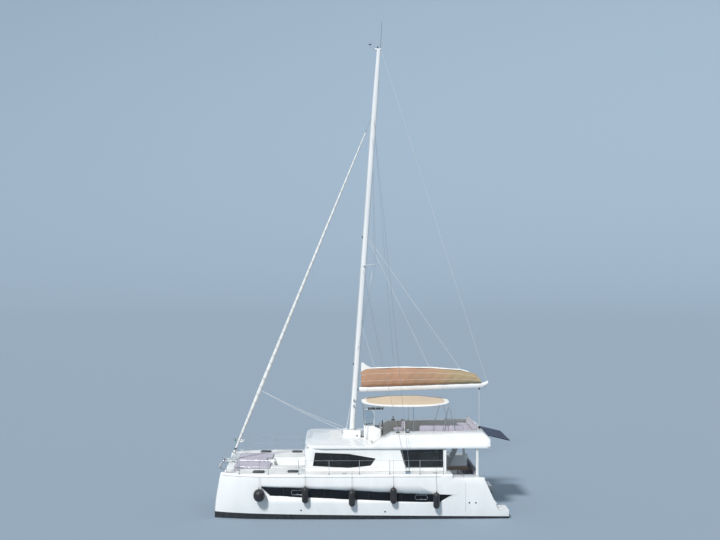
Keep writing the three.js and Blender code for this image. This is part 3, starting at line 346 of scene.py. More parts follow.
def rounded(u0, u1, v0, v1, radius):
    """The outline of a rectangle with round corners"""
    outline = []
    for u, v, start in ((u1 - radius, v0 + radius, -90), (u1 - radius, v1 - radius, 0),
                        (u0 + radius, v1 - radius, 90), (u0 + radius, v0 + radius, 180)):
        for k in range(CORNER_STEPS + 1):
            turn = math.radians(start + 90 * k / CORNER_STEPS)
            outline.append((u + radius * math.cos(turn), v + radius * math.sin(turn)))
    return outline


def skin_of(*nodes):
    """What a straight line meets on these nodes"""
    bm = bmesh.new()
    for node in nodes:
        bm.from_mesh(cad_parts[node].data)
    tree = BVHTree.FromBMesh(bm)
    bm.free()
    return tree


WINDOW_BAND = [(4.29, 1.43), (3.0, 1.4), (0.48, 1.28), (-2.4, 1.12), (-3.86, 1.07),
               (-3.34, 0.75), (-1.5, 0.8), (0.48, 0.895), (2.5, 0.985), (3.92, 1.06)]
WINDOW_BARS = ((3.35, 1.22), (1.6, 1.13), (-0.3, 1.06), (-1.7, 1.0))
OPENING_LIGHTS = ((2.75, 1.195), (-2.55, 0.97))
BAR_LEAN, BAR_HALF = 0.02, 0.19
LIGHT_HALF, LIGHT_RISE, LIGHT_CORNER = 0.26, 0.1, 0.07
LATCH_HALF, LATCH_DOWN = 0.03, 0.07


def spaced(outline, step):
    """Points about every step round an outline"""
    points = []
    for (u, v), (end_u, end_v) in zip(outline, outline[1:] + outline[:1]):
        count = max(1, round(math.hypot(end_u - u, end_v - v) / step))
        points += [(u + (end_u - u) * k / count, v + (end_v - v) * k / count) for k in range(count)]
    return points


def glazed(name, node, finish, flat=1.0):
    """A node's own shape, made of glass"""
    piece(name, node_shape(node, flat), finish, "boat", [node])


WELL_OUTSIDE = 8
hull_skin = {side: skin_of(f"hull_{name}", f"hull_window_{name}") for name, side in SIDES}


def on_hull(side, places, out=0.0):
    """The points of a hull's outer side at some places along it and up it, or some way out from it"""
    points = []
    for x, z in places:
        start = Vector((x, side * WELL_OUTSIDE, z))
        hit, normal, _, _ = hull_skin[side].ray_cast(start, Vector((0, -side, 0)))
        points.append(hit + normal * out)
    return points


for name, side in SIDES:
    glazed(f"hull_glass_{name}", f"hull_window_{name}", hull_glass, flat=0.1)
    bm = bmesh.new()
    tube_in(bm, [on_hull(side, spaced(WINDOW_BAND, 0.3), -0.001)], 0.009, closed=True)
    for x, z in WINDOW_BARS:
        tube_in(bm, [on_hull(side, ((x - BAR_LEAN, z - BAR_HALF), (x + BAR_LEAN, z + BAR_HALF)))], 0.01)
    piece(f"hull_window_bead_{name}", bm, rubber)
    bm = bmesh.new()
    for x, z in OPENING_LIGHTS:
        frame_run = rounded(x - LIGHT_HALF, x + LIGHT_HALF, z - LIGHT_RISE, z + LIGHT_RISE, LIGHT_CORNER)
        latch = ((x - LATCH_HALF, z - LATCH_DOWN), (x + LATCH_HALF, z - LATCH_DOWN))
        tube_in(bm, [on_hull(side, frame_run, 0.004)], 0.009, closed=True)
        tube_in(bm, [on_hull(side, latch, 0.01)], 0.008)
    piece(f"opening_light_frames_{name}", bm, steel)

# Hull fittings: a slim grey tube along each gunwale is painted shade, a dark line in place of the shadow
# under the deck edge. Bilge and sink outlets with steel rims sit low on the outer side. A hairline joint
# shows where the stern moulding meets the hull.
def rod_in(bm, start, end, radius, end_radius=None, sides=12, index=0):
    """A round bar or cone from one point to another"""
    start, end = Vector(start), Vector(end)
    turned = (end - start).to_track_quat("Z", "Y").to_matrix().to_4x4()
    made = bmesh.ops.create_cone(bm, cap_ends=True, segments=sides, depth=(end - start).length,
                                 radius1=radius, radius2=radius if end_radius is None else end_radius,
                                 matrix=Matrix.Translation((start + end) / 2) @ turned)
    set_paint(made["verts"], index)


GUNWALE = [(6.03, 1.86)] + [(x / 10, 1.86) for x in range(58, -37, -4)]
OUTLETS = ((-4.62, 0.72), (-4.9, 0.72), (-1.0, 0.35), (2.6, 0.42))
STERN_JOINT = [(-4.46, z / 10) for z in range(3, 17)]
# Painted shade: the grey of the gunwale tube stands in for the shadow line under the deck edge.
gunwale_shade_finish, _ = weathered_white("gunwale_painted_shade", (0.55, 0.56, 0.57), (0.45, 0.46, 0.47), (0.35, 0.5))
for name, side in SIDES:
    bm = bmesh.new()
    tube_in(bm, [on_hull(side, GUNWALE, 0.002)], 0.012, smooth=True)
    piece(f"gunwale_shade_line_{name}", bm, gunwale_shade_finish)
    bm = bmesh.new()
    for middle, out in zip(on_hull(side, OUTLETS), on_hull(side, OUTLETS, 0.012)):
        rod_in(bm, middle - (out - middle), out, 0.045, 0.04, 20)
        rod_in(bm, middle, out + (out - middle) * 0.1, 0.028, 0.028, 16, 1)
    tube_in(bm, [on_hull(side, STERN_JOINT)], 0.003, index=1)
    piece(f"hull_outlets_{name}", bm, [steel, rubber])

# Underwater gear: keels, rudders and saildrive legs in matt black antifouling that is rubbed thin in
# patches, and three-bladed propellers in bronze dulled by the sea. All hang under the hulls.
antifouling, shader = shaded("antifouling")
worn = between(antifouling, noise(antifouling, 8, 8), (0.018, 0.019, 0.021), (0.06, 0.062, 0.065), 0.45, 0.8)
coated(antifouling, shader, worn, between(antifouling, noise(antifouling, 20), 0.6, 0.9))
raised(antifouling, shader, noise(antifouling, 90, 3), 0.001, 0.5)
bronze = metal("sea_bronze", (0.46, 0.33, 0.15), (0.3, 0.55), (1, 1, 1), 30)
for name, side in SIDES:
    for node, width in (("keel", 0.02), ("drive_leg", 0.004)):
        moulded(f"{node}_{name}", antifouling, width, "antifouling", least=50)
    moulded(f"rudder_{name}", antifouling, 0.003, "antifouling", f"rudder_{name}_body", least=60)
    moulded(f"propeller_{name}", bronze, 0.001, "bronze", f"propeller_{name}_body", least=80)

# Decks: the bridge deck and the solid foredeck are white mouldings with their edges rounded. Pale grey
# non-slip panels with a fine diamond grain are moulded in between smooth gutters, and clear of the hatches.
def non_slip():
    material, shader = shaded("non_slip_grey")
    dirt = between(material, noise(material, 1.3, 6), (0.74, 0.745, 0.74), (0.64, 0.65, 0.645))
    coated(material, shader, dirt, between(material, noise(material, 12), 0.55, 0.8))
    settings = {"Vector": own_place(material, turned=45), "Scale": 55, "Randomness": 0.0}
    diamonds = node_in(material, "TexVoronoi", settings).outputs["Distance"]
    raised(material, shader, diamonds, 0.004, 0.9)
    return material


grip = non_slip()
PANEL_LIFT = 0.0005
PANEL_RISE = 0.002
HOLE_MARGIN = 0.06
ALONG, ACROSS = (1, 0, 0), (0, 1, 0)


def panel_in(bm, outline, level, holes=()):
    """A non-slip panel on a deck at some level, cut clear of what stands in it"""
    part = bmesh.new()
    part.faces.new([part.verts.new((x, y, level + PANEL_LIFT)) for x, y in outline])
    for x0, x1, y0, y1 in holes:
        low, high = (x0 - HOLE_MARGIN, y0 - HOLE_MARGIN, 0), (x1 + HOLE_MARGIN, y1 + HOLE_MARGIN, 0)
        for corner, normal in ((low, ALONG), (high, ALONG), (low, ACROSS), (high, ACROSS)):
            everything = part.verts[:] + part.edges[:] + part.faces[:]
            bmesh.ops.bisect_plane(part, geom=everything, plane_co=corner, plane_no=normal)
        cut_out = [f for f in part.faces if all(low[k] < f.calc_center_median()[k] < high[k] for k in (0, 1))]
        bmesh.ops.delete(part, geom=cut_out, context="FACES")
    bmesh.ops.dissolve_limit(part, angle_limit=0.01, verts=part.verts, edges=part.edges)
    bmesh.ops.recalc_face_normals(part, faces=part.faces)
    if part.faces[0].normal.z < 0:
        bmesh.ops.reverse_faces(part, faces=part.faces)
    bmesh.ops.solidify(part, geom=part.faces[:], thickness=-PANEL_RISE)
    bmesh.ops.recalc_face_normals(part, faces=part.faces)
    join_in(bm, part)


def deck_edge(side, x):
    """How far out a hull's side reaches at the deck"""
    return abs(on_hull(side, ((x, 1.88),))[0].y)


def box_on(side, box):
    """A rectangle to port, or its mirror image to starboard"""
    x0, x1, y0, y1 = box
    return (x0, x1, *sorted((side * y0, side * y1)))


DECK, FORE_COCKPIT, COCKPIT, PLATFORM = 1.95, 1.35, 1.05, 0.36
HATCHES = {"hatch_forward": (4.2, 4.7, 2.47, 2.97), "hatch_middle": (2.72, 3.2, 2.42, 2.9)}
STEPS = ((-5.12, 1.05), (-5.38, 0.82), (-5.64, 0.59))
GUTTER = 0.2
for node in ("bridge_deck", "foredeck"):
    moulded(node, gelcoat, 0.018, least=35)
deck_panels = bmesh.new()
for _, side in SIDES:
    outer = {x: deck_edge(side, x) - GUTTER for x in (2.4, 2.62, 3.9, 4.3, 4.7, 5.1, 5.45)}
    fore_deck = [(5.45, 2.05), (2.62, 2.05)] + [(x, y) for x, y in outer.items() if x > 2.5]
    side_deck = [(-3.5, 2.76), (-3.5, 3.32), (0.0, 3.36), (2.4, outer[2.4]), (2.4, 2.76)]
    panels = [(fore_deck, DECK, [box_on(side, box) for box in HATCHES.values()]), (side_deck, DECK, ()),
              (rounded(-6.28, -5.95, 2.2, 3.12, 0.06), PLATFORM, ())]
    panels += [(rounded(x - 0.235, x - 0.025, 2.3, 3.05, 0.03), z, ()) for x, z in STEPS]
    for outline, level, holes in panels:
        panel_in(deck_panels, [(x, side * y) for x, y in outline], level, holes)
panel_in(deck_panels, rounded(4.3, 5.65, -1.98, 1.98, 0.06), DECK - 0.0002)
panel_in(deck_panels, rounded(2.62, 4.2, -2.0, -1.12, 0.05), DECK)
panel_in(deck_panels, rounded(2.62, 4.2, 1.12, 2.0, 0.05), DECK)
panel_in(deck_panels, rounded(2.55, 3.88, -0.98, 0.98, 0.05), FORE_COCKPIT)
panel_in(deck_panels, rounded(-4.65, -3.85, -1.4, 1.85, 0.05), COCKPIT)
piece("deck_grip_panels", deck_panels, grip, smooth=30)

# Deck hatches: a smoked acrylic pane in a rounded frame of black anodised aluminium, hinged on its forward
# edge, with two black handles set into the pane. It shuts on a black rubber seal bedded on the deck.
black_alloy = metal("black_anodised", (0.03, 0.032, 0.036), (0.35, 0.5))
smoked = tinted("smoked_acrylic", (0.012, 0.014, 0.016))
LID_TUBE = 0.0175


def box_in(bm, low, high, edge=0.0, index=0):
    """A block between two corners, its edges rounded"""
    low, high = Vector(low), Vector(high)
    grown = Matrix.Translation((low + high) / 2) @ Matrix.Diagonal((*(high - low), 1))
    verts = bmesh.ops.create_cube(bm, size=1, matrix=grown)["verts"]
    set_paint(verts, index)
    if edge:
        edges = list(dict.fromkeys(e for vert in verts for e in vert.link_edges))
        bmesh.ops.bevel(bm, geom=edges, offset=edge, segments=2, profile=0.5, affect="EDGES",
                        material=-1)


def plate_in(bm, outline, low, high, edge=0.0, index=0):
    """A flat outline of points in X and Y, raised from low to high, its upper edge rounded"""
    base = bm.faces.new([bm.verts.new((x, y, low)) for x, y in outline])
    if base.normal.z > 0:
        base.normal_flip()
    base.normal_update()
    top = bmesh.ops.extrude_face_region(bm, geom=[base])["geom"]
    verts = [part for part in top if isinstance(part, bmesh.types.BMVert)]
    bmesh.ops.translate(bm, verts=verts, vec=(0, 0, high - low))
    set_paint(verts, index)
    faces = list(dict.fromkeys(face for vert in verts for face in vert.link_faces))
    bmesh.ops.recalc_face_normals(bm, faces=faces)
    if edge:
        edges = [part for part in top if isinstance(part, bmesh.types.BMEdge)]
        bmesh.ops.bevel(bm, geom=edges, offset=edge, segments=2, profile=0.5, affect="EDGES",
                        material=-1)


def over(point, height):
    """The point some height straight over another"""
    return Vector(point) + Vector((0, 0, height))


def post_in(bm, foot, low, high, radius, end_radius=None, sides=12, index=0):
    """An upright bar or cone, from low to high over a point"""
    rod_in(bm, over(foot, low), over(foot, high), radius, end_radius, sides, index)


def pin_in(bm, middle, half, radius, sides=16, index=0):
    """A round pin across the boat, of half its length each way from its middle"""
    across = Vector((0, half, 0))
    rod_in(bm, Vector(middle) - across, Vector(middle) + across, radius, radius, sides, index)


def inside(box, gap, corner):
    """A rounded outline that lies some way inside a rectangle"""
    x0, x1, y0, y1 = box
    return rounded(x0 + gap, x1 - gap, y0 + gap, y1 - gap, corner)


seals = bmesh.new()
for label, box in HATCHES.items():
    for name, side in SIDES:
        x0, x1, y0, y1 = lid_box = box_on(side, box)
        plate_in(seals, inside(lid_box, 0.025, 0.06), DECK - 0.0001, DECK + 0.0004)
        bm = bmesh.new()
        rim = [(x, y, DECK + 0.018) for x, y in inside(lid_box, 0.018, 0.07)]
        tube_in(bm, [rim], LID_TUBE, closed=True)
        plate_in(bm, inside(lid_box, 0.02, 0.06), DECK + 0.003, DECK + 0.028, 0.004, 1)
        for y in (y0 + 0.12, y1 - 0.12):
            post_in(bm, (x0 + 0.07, y, DECK), 0.02, 0.034, 0.024, 0.02, 16, 2)
            box_in(bm, (x0 + 0.065, y - 0.045, DECK + 0.03), (x0 + 0.085, y + 0.01, DECK + 0.04), 0.004, 2)
            pin_in(bm, (x1 - 0.012, y, DECK + 0.022), 0.04, 0.011, 10)
        lid = f"{label}_{name}_lid"
        piece(lid, bm, [black_alloy, smoked, rubber], lid, [f"{label}_{name}"])
piece("hatch_seals", seals, rubber)

# Soft pads: foam in woven outdoor cloth of a lilac grey, sewn with a piped seam round its upper and lower
# edges. The cloth is stuffed by a pressure simulation that the seams hold in.
def threads(material, scale):
    """The threads of a weave, as a fine chequer"""
    return node_in(material, "TexChecker", {"Vector": own_place(material), "Scale": scale}).outputs["Fac"]


def woven(name, color, shade, scale=420, sheen=0.35):
    material, shader = shaded(name, Sheen_Weight=sheen, Sheen_Roughness=0.5)
    fuzz = noise(material, scale / 2, 2)
    coated(material, shader, between(material, noise(material, 2.5, 5), color, shade),
           between(material, fuzz, 0.75, 0.95))
    raised(material, shader, worked_out(material, "ADD", threads(material, scale), fuzz), 0.0012, 0.5)
    return material


pad_cloth = woven("lilac_grey_cloth", (0.44, 0.415, 0.49), (0.36, 0.34, 0.405))
piping_cloth = woven("piping_cloth", (0.3, 0.28, 0.34), (0.24, 0.22, 0.28))
PAD_VOXEL = 0.022
PAD_CORNER, PAD_CHAMFER = 0.05, 0.012
PAD_CAP = 0.02
PAD_HELD_BELOW = 0.15
SWELL_STEPS = 20
CLOTH = {"quality": 5, "mass": 0.3, "tension_stiffness": 25, "compression_stiffness": 25,
         "bending_stiffness": 1.5, "use_pressure": True, "uniform_pressure_force": 4,
         "vertex_group_mass": "seam"}
DIMPLE, CHANNEL_WIDTH, BUTTON_WIDTH = 0.9, 0.03, 0.06
PIPING, CHANNEL_SEAM = 0.007, 0.0035
stuffed = []


def pad(name, size, frame_at, nodes=(), channels=(), buttons=()):
    """A pad of a length, a width and a thickness, set in place by a matrix, ready to be stuffed"""
    length, width, thick = size
    bm = bmesh.new()
    plate_in(bm, rounded(0, length, 0, width, PAD_CORNER), 0, thick)
    edges = [e for e in bm.edges if abs(e.verts[0].co.z - e.verts[1].co.z) < 1e-6]
    bmesh.ops.bevel(bm, geom=edges, offset=PAD_CHAMFER, segments=2, profile=0.5, affect="EDGES", material=-1)
    finish = [pad_cloth, piping_cloth] + [rubber] * bool(buttons)
    made = piece(name, bm, finish, nodes=nodes)
    remesh = made.modifiers.new("remesh", "REMESH")
    remesh.voxel_size = PAD_VOXEL
    bpy.context.view_layer.update()
    made.data = bpy.data.meshes.new_from_object(made.evaluated_get(bpy.context.evaluated_depsgraph_get()))
    made.modifiers.clear()
    near = PAD_VOXEL * 0.9
    held = []
    for vert in made.data.vertices:
        x, y, z = vert.co
        at_side = min(x, length - x, y, width - y) < near
        if at_side and min(z, thick - z) < near or z < thick * PAD_HELD_BELOW:
            held.append(vert.index)
    made.vertex_groups.new(name="seam").add(held, 1.0, "REPLACE")
    made.data.transform(frame_at)
    stuffed.append((made, size, frame_at, channels, buttons))


def drawn_down(place, thick, channels, buttons):
    """How far its channels and buttons draw down a pad's cover at a place"""
    upper = min(1, max(0, place.z / thick - 0.5) * 2)
    gaps = [(place[axis] - middle) / CHANNEL_WIDTH for axis, middle in channels]
    gaps += [math.hypot(place.x - x, place.y - y) / BUTTON_WIDTH for x, y in buttons]
    return DIMPLE * PAD_CAP * upper * sum(math.exp(-gap ** 2) for gap in gaps)


def under(skin, x, y, z):
    """The point of a skin straight under a place"""
    return skin.ray_cast(Vector((x, y, z)), Vector((0, 0, -1)))[0]


def sew_on(bm, size, channels, buttons):
    """Sews on a pad's piping, the seams in its channels and its buttons"""
    length, width, thick = size
    top = BVHTree.FromBMesh(bm)
    edge = rounded(0.002, length - 0.002, 0.002, width - 0.002, PAD_CORNER)
    rings = [[(x, y, z) for x, y in edge] for z in (0.01, thick - 0.01)]
    tube_in(bm, rings, PIPING, closed=True, index=1)
    for axis, middle in channels:
        run = [size[1 - axis] * (0.03 + 0.94 * k / 30) for k in range(31)]
        line = [under(top, middle, v, 1) if axis == 0 else under(top, v, middle, 1) for v in run]
        tube_in(bm, [[over(point, 0.001) for point in line]], CHANNEL_SEAM, index=1)
    for x, y in buttons:
        post_in(bm, under(top, x, y, 1), -0.006, 0.005, 0.021, 0.014, 14, 2)


def stuff_pads():
    """Lets the pads swell together, holds each point within the cap, then sews on what the seams carry"""
    rest = [[vert.co.copy() for vert in made.data.vertices] for made, *_ in stuffed]
    for made, *_ in stuffed:
        cloth = made.modifiers.new("cloth", "CLOTH")
        for key, value in CLOTH.items():
            setattr(cloth.settings, key, value)
        cloth.settings.effector_weights.gravity = 0
        cloth.collision_settings.use_collision = False
    for step in range(1, SWELL_STEPS + 1):
        bpy.context.scene.frame_set(step)
    graph = bpy.context.evaluated_depsgraph_get()
    for starts, (made, size, frame_at, channels, buttons) in zip(rest, stuffed):
        swollen = [vert.co.copy() for vert in made.evaluated_get(graph).data.vertices]
        made.modifiers.clear()
        made.vertex_groups.clear()
        back = frame_at.inverted()
        for vert, start, end in zip(made.data.vertices, starts, swollen):
            move = end - start
            if move.length > PAD_CAP:
                move = move.normalized() * PAD_CAP
            place = back @ (start + move)
            vert.co = over(place, -drawn_down(place, size[2], channels, buttons))
        bm = bmesh.new()
        bm.from_mesh(made.data)
        bmesh.ops.smooth_vert(bm, verts=bm.verts, factor=0.3, use_axis_x=True, use_axis_y=True,
                              use_axis_z=True)
        sew_on(bm, size, channels, buttons)
        bmesh.ops.transform(bm, verts=bm.verts, matrix=frame_at)
        bm.to_mesh(made.data)
        bm.free()
        made.data.shade_smooth()
        made.data.set_sharp_from_angle(angle=math.radians(60))
    bpy.context.scene.frame_set(1)


def at(x, y, z, turned=None):
    return Matrix.Translation((x, y, z)) @ (turned or Matrix.Identity(4))


SUN_PADS = ((4.03, -1.89, 1.56, 1.38), (4.28, -0.47, 1.31, 0.94), (4.03, 0.51, 1.56, 1.38))
for k, (x, y, length, width) in enumerate(SUN_PADS):
    pad(f"foredeck_pad_{k + 1}", (length, width, 0.082), at(x, y, DECK + 0.003),
        ["foredeck_pads"] if k == 0 else [], channels=((0, length / 3), (0, length * 2 / 3)),
        buttons=[(u * length, v * width) for u in (1 / 6, 1 / 2, 5 / 6) for v in (0.27, 0.73)])

# Deckhouse: white moulded walls. Its tinted panes are bonded behind the openings on a black rubber bed,
# and slim dark bars part the long side windows. The glass lets the saloon show faintly.
HOUSE_SIDE = 2.65
HOUSE_FRONT = 2.45
SIDE_WINDOWS = {
    "forward": ((2.01, 2.76), (2.1, 2.2), (0.55, 2.11), (-0.4, 2.21), (-0.61, 2.5), (0.55, 2.7)),
    "aft": ((-1.71, 2.86), (-1.92, 2.11), (-3.56, 2.11), (-3.56, 2.88)),
}
SIDE_BARS = ((1.25, 2.16, 2.72), (0.55, 2.12, 2.69), (-0.05, 2.18, 2.6), (-2.62, 2.12, 2.86))
FRONT_PANES = ((0.48, 1.52), (1.58, 2.48))
PANE_FOOT, PANE_HEAD, PANE_CORNER = 2.13, 2.83, 0.09
saloon_glass = tinted("saloon_glass", (0.09, 0.105, 0.11), 0.92)
for node in ("house_side_port", "house_side_starboard", "house_front"):
    moulded(node, gelcoat, 0.014)
moulded("aft_bulkhead", gelcoat, 0.014, keep=lambda e: min(abs(v.co.y) for v in e.verts) > 1.005)
for name, side in SIDES:
    y = side * HOUSE_SIDE
    bm = bmesh.new()
    for outline in SIDE_WINDOWS.values():
        tube_in(bm, [[(u, y + side * 0.001, v) for u, v in outline]], 0.012, closed=True)
    for x, low, high in SIDE_BARS:
        rod_in(bm, (x, y - side * 0.05, low), (x, y - side * 0.05, high), 0.014)
    for u0, u1 in FRONT_PANES:
        pane = rounded(u0, u1, PANE_FOOT, PANE_HEAD, PANE_CORNER)
        tube_in(bm, [[(HOUSE_FRONT + 0.001, side * u, v) for u, v in pane]], 0.01, closed=True)
    piece(f"window_beads_{name}", bm, rubber)
    glazed(f"side_panes_{name}", f"side_glass_{name}", saloon_glass)
    glazed(f"front_panes_{name}", f"windscreen_{name}", saloon_glass)

# Doors: leaves of dark grey aluminium with tinted panes and steel handles. The forward door hangs on two
# hinges. Aft, the port leaf is fixed and the starboard one slides behind it on a track.
dark_alloy = metal("dark_aluminium", (0.06, 0.063, 0.068), (0.3, 0.5))
door_finish = [dark_alloy, saloon_glass, steel]
HINGE_X, HINGE_Y, HINGES = 2.4623, -0.39, (1.56, 2.64)
DOOR_AFT, DOOR_FORE, DOOR_HALF = 2.402, 2.442, 0.374
DOOR_FOOT, DOOR_HEAD, DOOR_STILE, DOOR_PANE = 1.386, 2.854, 0.13, 2.08
LEAF_THICK, LEAF_FOOT, LEAF_HEAD, LEAF_STILE, LEAF_PANE = 0.03, 1.09, 2.88, 0.06, 1.15
AFT_LEAVES = (("fixed_door_leaf", -3.685, 0.0005, 0.8995, "boat", 0.03),
              ("sliding_door", -3.738, -0.94, 0.04, "sliding_door_body", -0.9))


def door_leaf(bm, x0, x1, y0, y1, z0, z1, stile, pane_low):
    """A framed leaf across the boat, with its pane from pane_low up"""
    for low, high in ((y0, y0 + stile), (y1 - stile, y1)):
        box_in(bm, (x0, low, z0), (x1, high, z1), 0.004)
    box_in(bm, (x0, y0 + stile - 0.005, z0), (x1, y1 - stile + 0.005, pane_low), 0.004)
    box_in(bm, (x0, y0 + stile - 0.005, z1 - stile), (x1, y1 - stile + 0.005, z1), 0.004)
    middle = (x0 + x1) / 2
    box_in(bm, (middle - 0.003, y0 + stile - 0.01, pane_low - 0.01),
           (middle + 0.003, y1 - stile + 0.01, z1 - stile + 0.01), 0, 1)


bm = bmesh.new()
door_leaf(bm, DOOR_AFT, DOOR_FORE, -DOOR_HALF, DOOR_HALF, DOOR_FOOT, DOOR_HEAD, DOOR_STILE, DOOR_PANE)
tube_in(bm, [[(2.43, 0.3, 2.0), (2.48, 0.3, 2.0), (2.48, 0.3, 2.16), (2.43, 0.3, 2.16)]], 0.009, index=2)
for z in HINGES:
    post_in(bm, (HINGE_X, HINGE_Y, z), -0.05, 0.05, 0.0118, index=2)
    box_in(bm, (2.436, -DOOR_HALF, z - 0.045), (2.458, -0.34, z + 0.045), 0.002, 2)
    box_in(bm, (2.451, -0.388, z - 0.045), (2.458, -0.34, z + 0.045), 0.001, 2)
piece("forward_door_leaf", bm, door_finish, "forward_door_body", ["forward_door"])
for node, x, y0, y1, body, handle in AFT_LEAVES:
    bm = bmesh.new()
    door_leaf(bm, x, x + LEAF_THICK, y0, y1, LEAF_FOOT, LEAF_HEAD, LEAF_STILE, LEAF_PANE)
    box_in(bm, (x - 0.008, handle - 0.012, 1.85), (x + 0.002, handle + 0.012, 2.15), 0.004, 2)
    piece(f"{node}_panel", bm, door_finish, body, [node])

# Furniture: a saloon sofa seen through the windows, the cockpit bench pads, and a slatted teak table on a
# steel pedestal. Bases are moulded white, pads are stuffed cloth.
PLANK, CAULKING = 0.055, 0.0025


def planked(name, color, dark):
    material, shader = shaded(name, Coat_Weight=0.15)
    grain = noise(material, 9, 8, (1.2, 16, 16))
    wood = between(material, grain, color, dark, 0.35, 0.7)
    across = worked_out(material, "PINGPONG", own_axes(material)["Y"], PLANK)
    seam = worked_out(material, "LESS_THAN", across, CAULKING)
    coated(material, shader, either(material, seam, wood, (0.02, 0.018, 0.016)),
           between(material, grain, 0.45, 0.65))
    raised(material, shader, grain, 0.0012, 0.4)
    return material


teak = planked("oiled_teak", (0.36, 0.2, 0.09), (0.22, 0.11, 0.045))
STAND_OFF = 0.0003
table_foot = (-4.45, 0.5, COCKPIT)
bm = bmesh.new()
plate_in(bm, rounded(-4.9, -4.0, 0.1, 0.9, 0.08), 1.69, 1.73, 0.008)
post_in(bm, table_foot, STAND_OFF, 0.03, 0.2, 0.17, 32, 1)
post_in(bm, table_foot, 0.03, 0.642, 0.055, 0.05, 24, 1)
piece("cockpit_table_top", bm, [teak, steel], "boat", ["cockpit_table"])

PORT_BACK = Matrix.Rotation(math.pi / 2, 4, "X")
AFT_BACK = Matrix(((0, 0, 1, 0), (1, 0, 0, 0), (0, 1, 0, 0), (0, 0, 0, 1)))
ATHWART = Matrix.Rotation(math.pi / 2, 4, "Z")
SOFA_AFT, SOFA_FORE, SOFA_SIDE, SOFA_TOP = -3.3, -0.9, 1.9, 1.36
SOFA_PADS, SOFA_PAD_STEP = -3.28, 0.8
BENCH_PADS, BENCH_PAD_STEP = -1.48, 0.99
bm = bmesh.new()
for low, high in (((SOFA_AFT, 1.25, COCKPIT + STAND_OFF), (SOFA_FORE, SOFA_SIDE, SOFA_TOP)),
                  ((SOFA_AFT, 1.84, 1.35), (SOFA_FORE, SOFA_SIDE, 1.88)),
                  ((SOFA_AFT, 0.35, COCKPIT + STAND_OFF), (-2.7, 1.26, SOFA_TOP))):
    box_in(bm, low, high, 0.02)
piece("saloon_sofa_base", bm, gelcoat, "boat", ["saloon_sofa"])
for k in range(3):
    x = SOFA_PADS + SOFA_PAD_STEP * k
    pad(f"saloon_seat_{k + 1}", (0.78, 0.56, 0.1), at(x, 1.27, 1.362))
    pad(f"saloon_back_{k + 1}", (0.78, 0.4, 0.1), at(x, 1.838, 1.475, PORT_BACK))
for k in range(3):
    y = BENCH_PADS + BENCH_PAD_STEP * k
    pad(f"cockpit_seat_{k + 1}", (0.98, 0.37, 0.08), at(-4.735, y, 1.382, ATHWART))
    pad(f"cockpit_back_{k + 1}", (0.98, 0.32, 0.08), at(-5.147, y, 1.477, AFT_BACK), channels=((0, 0.49),))

# Roof: one moulding with the flybridge coamings, its floor and crown laid with non-slip panels. Stairs,
# helm console and lounge base are white mouldings. Winches and rope clutches stand by the helm.
for node in ("roof", "flybridge_stairs", "helm_console", "lounge_base"):
    moulded(node, gelcoat, 0.016)
FLYBRIDGE, CROWN = 3.05, 3.16
UNDER_HELM = [(-1.94, -1.54, 0.5, 1.3), (-0.9, -0.44, 0.48, 1.32)]
TREADS = 7
bm = bmesh.new()
panel_in(bm, rounded(-4.5, -0.6, -1.6, 1.03, 0.08), FLYBRIDGE, UNDER_HELM)
panel_in(bm, rounded(0.85, 1.38, -1.4, 1.4, 0.06), CROWN)
for k in range(TREADS):
    share = (k + 1) / (TREADS + 1)
    x, z = -4.075 - 0.895 * share, COCKPIT + STAND_OFF + 1.9397 * share
    panel_in(bm, rounded(x - 0.09, x + 0.09, -2.38, -1.9, 0.02), z + 0.018)
piece("roof_grip_panels", bm, grip, smooth=30)
roof_skin = skin_of("roof")


def on_roof(x, y):
    """The highest point of the roof at a place"""
    return under(roof_skin, x, y, 6)


def box_by(bm, origin, low, high, edge=0.0, index=0):
    """A block between two corners that are measured from a point"""
    box_in(bm, origin + Vector(low), origin + Vector(high), edge, index)


WINCHES = ((-1.62, 2.05), (-2.05, 2.05), (-1.62, -2.05))
WINCH_DRUMS = ((-0.01, 0.045, 0.085, 0.08, 1), (0.045, 0.135, 0.055, 0.05, 0),
               (0.135, 0.16, 0.062, 0.066, 0), (0.16, 0.17, 0.045, 0.04, 1))
bm = bmesh.new()
for x, y in WINCHES:
    for low, high, radius, end_radius, index in WINCH_DRUMS:
        post_in(bm, on_roof(x, y), low, high, radius, end_radius, 28, index)
for k in range(5):
    foot = on_roof(-0.1, 0.58 + 0.07 * k)
    box_by(bm, foot, (-0.09, -0.026, -0.005), (0.09, 0.026, 0.055), 0.008, 1)
    box_by(bm, foot, (-0.1, -0.014, 0.05), (0.03, 0.014, 0.068), 0.005)
piece("winches_and_clutches", bm, [steel, rubber])

# Helm: two dark displays, a compass and engine levers on the sloping dash, a steel wheel with a stitched
# leather grip, a padded seat, and a clear windshield with a white rim.
bezel = black_rubber("dark_plastic", (0.02, 0.021, 0.023), (0.35, 0.5))
display = tinted("display_glass", (0.01, 0.014, 0.02))
console_low, console_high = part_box("helm_console")
HELM_Y = 0.9
DASH_RUN = 0.34
DASH_RISE = 0.13
DISPLAYS, DIALS, LEVERS = (-0.19, 0.1), (0.29, 0.36), (0.3, 0.355)
dash_foot = Vector((console_low[0], HELM_Y, console_high[2] - DASH_RISE))
dash_up = Vector((DASH_RUN, 0, DASH_RISE)).normalized()
dash = Matrix.Translation(dash_foot) @ Matrix(((0, dash_up.x, -dash_up.z, 0), (-1, 0, 0, 0),
                                               (0, dash_up.z, dash_up.x, 0), (0, 0, 0, 1)))
bm = bmesh.new()
for x in DISPLAYS:
    plate_in(bm, rounded(x - 0.135, x + 0.135, 0.06, 0.27, 0.02), -0.004, 0.012, 0.004)
    plate_in(bm, rounded(x - 0.12, x + 0.12, 0.075, 0.255, 0.008), 0.01, 0.0135, 0, 1)
for x in DIALS:
    post_in(bm, (x, 0.2, 0), -0.004, 0.014, 0.03, 0.028, 24)
    post_in(bm, (x, 0.2, 0), 0.013, 0.0155, 0.024, 0.024, 24, 1)
